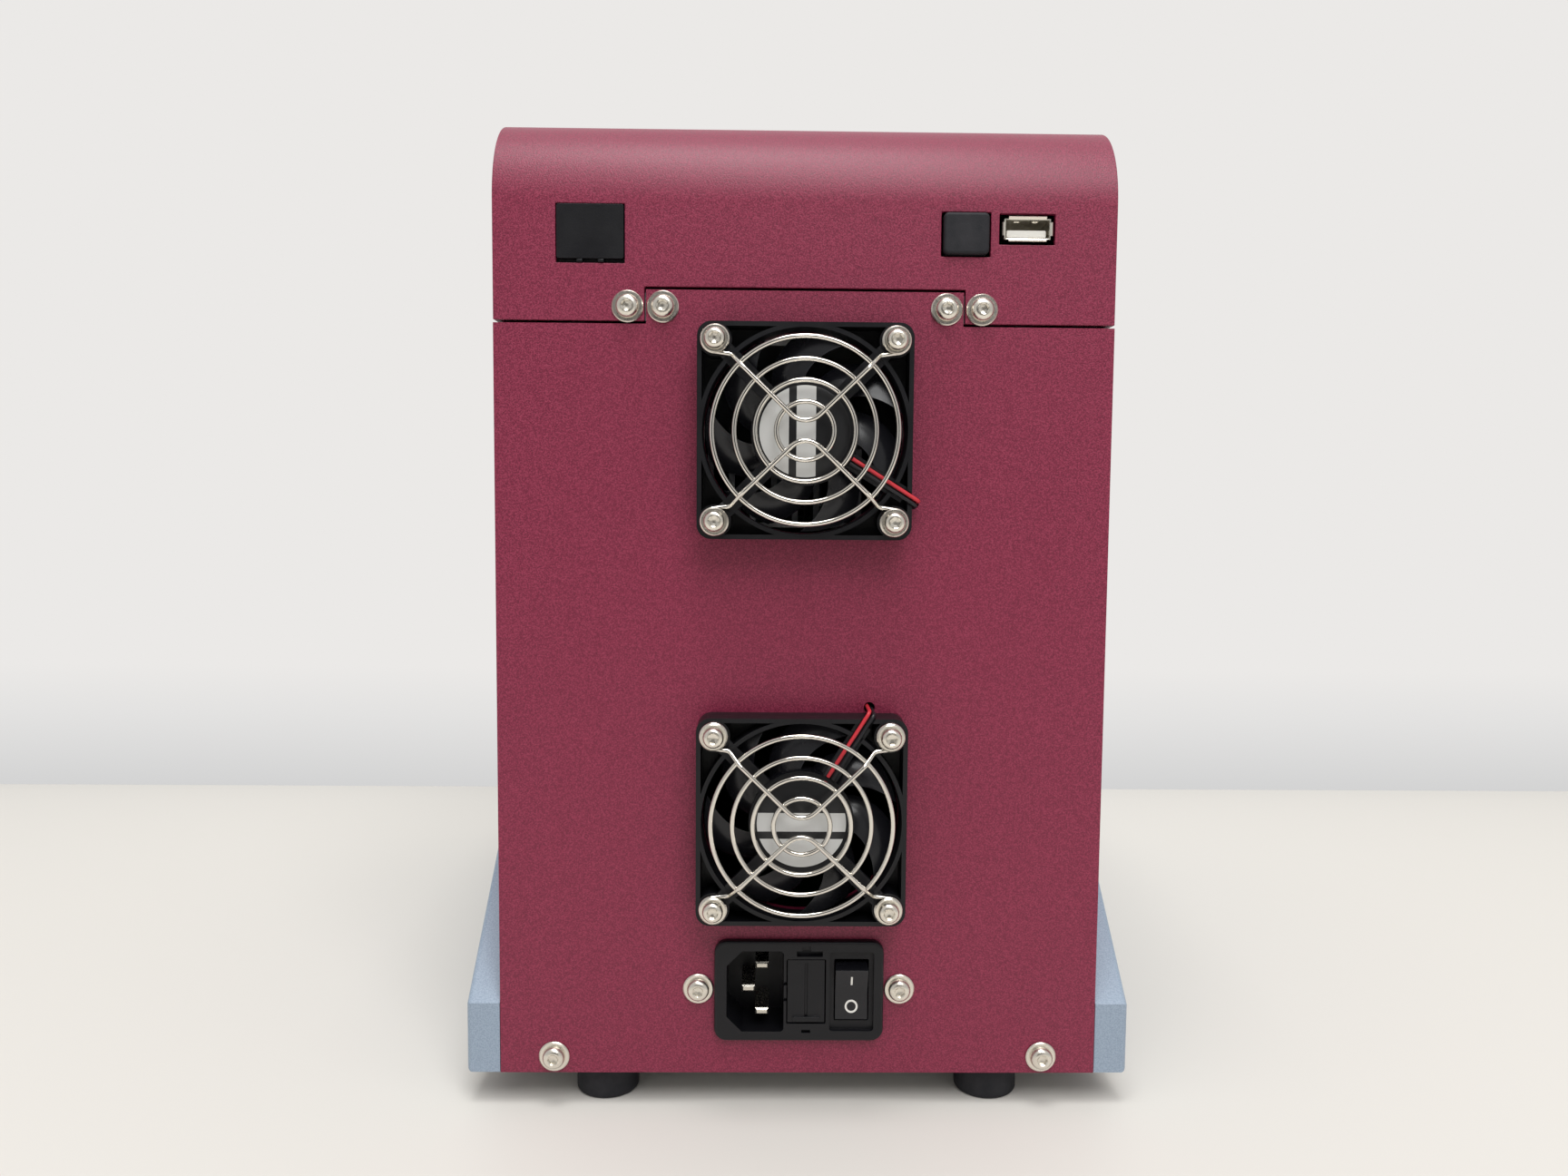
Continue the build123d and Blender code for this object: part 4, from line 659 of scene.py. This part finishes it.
def onRocker(points, side):
    # Lays (across, up, out) points on one flat of the rocker, then turns them with it about its pivot
    look = rockerLook
    pivot = np.array([middleOf("power_rocker", 0), panelY - look["pivotDepth"], middleOf("inlet_body", 2)])
    along = points[..., 1] + side * look["half"] * look["markAt"]
    out = look["valley"] + np.abs(along) * look["rise"] / look["half"] + points[..., 2]
    tilt = math.radians(-look["tilt"])
    turnedOut = out * math.cos(tilt) - along * math.sin(tilt)
    turnedUp = out * math.sin(tilt) + along * math.cos(tilt)
    return (np.stack([points[..., 0], turnedOut, turnedUp], axis=-1) + pivot) * mm


def rockerMarks():
    # The switch's I and O as thin printed forms: a bar, and a square section turned into a ring
    look = rockerLook
    w, h = look["barWidth"] / 2, look["barHeight"] / 2
    outline = np.array([(-w, -h), (w, -h), (w, h), (-w, h)])
    rows = np.stack([np.column_stack([outline, np.full(4, out)]) for out in (0.0, look["ink"])])
    bar = gridMesh("onMark", onRocker(rows, 1), closeAround=True, capEnds=True)
    section = ((look["ringOuter"], 0.0), (look["ringOuter"], look["ink"]),
               (look["ringInner"], look["ink"]), (look["ringInner"], 0.0))
    rows = np.stack([circle(radius, out, fullTurn(look["count"])) for radius, out in section])
    ring = gridMesh("offMark", onRocker(rows[..., [0, 2, 1]], -1), closeAround=True, closeAlong=True)
    marks = joined("rockerMarks", [bar, ring])
    addPiece("rockerMarks", marks, finishes["whiteMarkInk"], "rocker", sharp=30)


rockerMarks()

springLook = {"wire": 0.8, "radius": 2.6, "turns": 5.5, "pointsPerTurn": 40, "flatShare": 0.12, "sides": 8}


def plateSprings():
    # Coil springs: round wire along a helix that climbs evenly, but lies flat over a share of each end
    look = springLook
    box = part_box("plate_springs")
    low, high = box[0][2] / mm + look["wire"] / 2, box[1][2] / mm - look["wire"] / 2
    t = np.linspace(0, 1, int(look["turns"] * look["pointsPerTurn"]))
    turn = 2 * np.pi * look["turns"] * t
    climb = np.clip((t - look["flatShare"]) / (1 - 2 * look["flatShare"]), 0, 1)
    across, along = look["radius"] * np.cos(turn), look["radius"] * np.sin(turn)
    helix = np.stack([across, along, low + (high - low) * climb], axis=-1)
    parts = []
    for centre in nodeCentres("plate_springs"):
        path = helix + np.array([centre[0], centre[1], 0])
        parts.append(tube("spring", path * mm, look["wire"] / 2 * mm, look["sides"], reference=(0, 0, 1)))
    coils = joined("plateSpringCoils", parts)
    addPiece("plateSpringCoils", coils, steel, "lid_plate", ["plate_springs"], sharp=0)


plateSprings()
print("switch marks and springs made")

# Solved from the photograph: focal and image width in pixels, places in millimetres, turns in radians
cameraFit = {"focal": 1296.98, "imageWidth": 1728.0, "sensor": 36.0, "x": 10.336, "behindPanel": 338.287,
             "abovePanelFoot": 170.694, "pitch": 0.07674, "yaw": 0.01477, "roll": 0.00823}


def placeCamera():
    # Camera at the photographer's place behind the instrument; its axes come from pitch, yaw and roll
    fit = cameraFit
    panelLow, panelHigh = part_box("back_panel")
    level = math.cos(fit["pitch"])
    ahead = np.array([-math.sin(fit["yaw"]) * level, -math.cos(fit["yaw"]) * level, -math.sin(fit["pitch"])])
    right = np.array([-math.cos(fit["yaw"]), math.sin(fit["yaw"]), 0.0])
    up = np.cross(right, ahead)
    c, s = math.cos(fit["roll"]), math.sin(fit["roll"])
    axes = np.column_stack([c * right + s * up, c * up - s * right, -ahead])
    place = (fit["x"] * mm, panelHigh[1] + fit["behindPanel"] * mm, panelLow[2] + fit["abovePanelFoot"] * mm)
    matrix = [[*axes[row], place[row]] for row in range(3)] + [[0, 0, 0, 1]]
    data = bpy.data.cameras.new("photoCamera")
    data.sensor_width = fit["sensor"]
    data.sensor_fit = "HORIZONTAL"
    data.lens = fit["focal"] / fit["imageWidth"] * fit["sensor"]
    data.clip_start = 0.01
    camera = bpy.data.objects.new("photoCamera", data)
    bpy.context.scene.collection.objects.link(camera)
    camera.matrix_world = mathutils.Matrix(matrix)
    bpy.context.scene.camera = camera


placeCamera()

# Edge and the fade of the wall's painted foot shade are in millimetres; the other lengths of the set and the
# lamps are in metres, power in watts
studio = {"wall": "#EBE9E7", "wallLow": "#E3E2E1", "wallFoot": "#D3D3D3", "floor": "#D9D6D0",
          "worldStrength": 0.56, "edgeBehindPanel": 385.0, "fadeHeight": 75.0, "side": 3.0}
cardLook = {"colour": "#242327", "y": 1.1, "half": 0.35, "top": 0.6}


def stageSheet(name, corners, material):
    # One flat sheet of the set, which isn't part of the object
    mesh = bpy.data.meshes.new(name)
    mesh.from_pydata(corners, [], [(0, 1, 2, 3)])
    mesh.materials.append(material)
    sheet = bpy.data.objects.new(name, mesh)
    bpy.context.scene.collection.objects.link(sheet)
    return sheet


def wallWithPaintedFootShade():
    # Pale wall that glows by itself, with painted shade that darkens it softly towards its foot where it meets
    # the table, and is clear from behind
    material, tree, shader, coords = newMaterial("paleWallPaint", {
        "Base Color": "#000000", "Specular IOR Level": 0.0, "Emission Strength": 1.0})
    split = addNode(tree, "ShaderNodeSeparateXYZ", None, {"Vector": coords})
    height = addNode(tree, "ShaderNodeMath", {"operation": "DIVIDE", 1: studio["fadeHeight"] * mm},
                     {0: split.outputs["Z"]})
    # Painted shade: the glow darkens from the wall's middle down to its foot, where it meets the table
    stops = [(0.0, studio["wallFoot"]), (0.6, studio["wallLow"]), (1.0, studio["wall"])]
    tone = addNode(tree, "ShaderNodeValToRGB", {"stops": stops}, {"Fac": height})
    feed(tree, shader, {"Emission Color": tone})
    behind = addNode(tree, "ShaderNodeNewGeometry").outputs["Backfacing"]
    clear = addNode(tree, "ShaderNodeBsdfTransparent")
    oneSided = addNode(tree, "ShaderNodeMixShader", None, {0: behind, 1: shader, 2: clear})
    feed(tree, tree.nodes["Material Output"], {"Surface": oneSided})
    return material


def makeStage():
    # Pale table that meets a pale wall, and a dark card that only reflections see: a painted dark reflection
    # that stands for the unlit side of the room and gives the wires their dark core
    side = studio["side"]
    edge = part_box("back_panel")[1][1] - studio["edgeBehindPanel"] * mm
    laminate = newMaterial("paleLaminate", {
        "Base Color": studio["floor"], "Roughness": 0.5, "Specular IOR Level": 0.2})[0]
    table = [(-side, -side, 0), (side, -side, 0), (side, side, 0), (-side, side, 0)]
    wall = [(side, edge, 0), (-side, edge, 0), (-side, edge, side), (side, edge, side)]
    stageSheet("tableTop", table, laminate)
    stageSheet("roomWall", wall, wallWithPaintedFootShade())
    y, half, top = cardLook["y"], cardLook["half"], cardLook["top"]
    # Painted dark reflection: the card is seen only in reflections, where it stands for the unlit room
    reflectionShade = newMaterial("darkCloth", {"Base Color": cardLook["colour"], "Roughness": 0.9})[0]
    card = stageSheet("darkCard", [(-half, y, 0), (half, y, 0), (half, y, top), (-half, y, top)], reflectionShade)
    card.visible_camera = False
    card.visible_diffuse = False
    card.visible_shadow = False


def makeWorld():
    # Even white light from all sides, while the camera sees the wall's own colour
    world = bpy.data.worlds.new("paleRoom")
    bpy.context.scene.world = world
    world.use_nodes = True
    tree = world.node_tree
    tree.nodes.clear()
    seen = addNode(tree, "ShaderNodeLightPath").outputs["Is Camera Ray"]
    room = addNode(tree, "ShaderNodeBackground", {"Color": "#FFFFFF", "Strength": studio["worldStrength"]})
    wall = addNode(tree, "ShaderNodeBackground", {"Color": studio["wall"], "Strength": 1.0})
    mix = addNode(tree, "ShaderNodeMixShader", None, {0: seen, 1: room, 2: wall})
    addNode(tree, "ShaderNodeOutputWorld", None, {"Surface": mix})


lamps = {
    "overhead": {"place": (0.05, 0.5, 1.7), "aim": (0, 0.1, 0.15), "size": 0.66, "power": 12.6},
    "behind": {"place": (-0.35, 1.35, 1.6), "aim": (0, 0.1, 0.1), "size": 0.9, "power": 16.2},
    "front": {"place": (0.6, -1.5, 1.0), "aim": (0, 0, 0.15), "size": 1.4, "power": 9.0},
}


def makeLamps():
    # Square area lamps, each turned to its aim
    for name, look in lamps.items():
        data = bpy.data.lights.new(name, "AREA")
        data.shape = "SQUARE"
        data.size = look["size"]
        data.energy = look["power"]
        lamp = bpy.data.objects.new(name, data)
        bpy.context.scene.collection.objects.link(lamp)
        direction = mathutils.Vector(look["aim"]) - mathutils.Vector(look["place"])
        lamp.location = look["place"]
        lamp.rotation_euler = direction.to_track_quat("-Z", "Y").to_euler()


makeStage()
makeWorld()
makeLamps()
bpy.context.scene.view_settings.view_transform = "Standard"
print("camera, table and lamps placed")
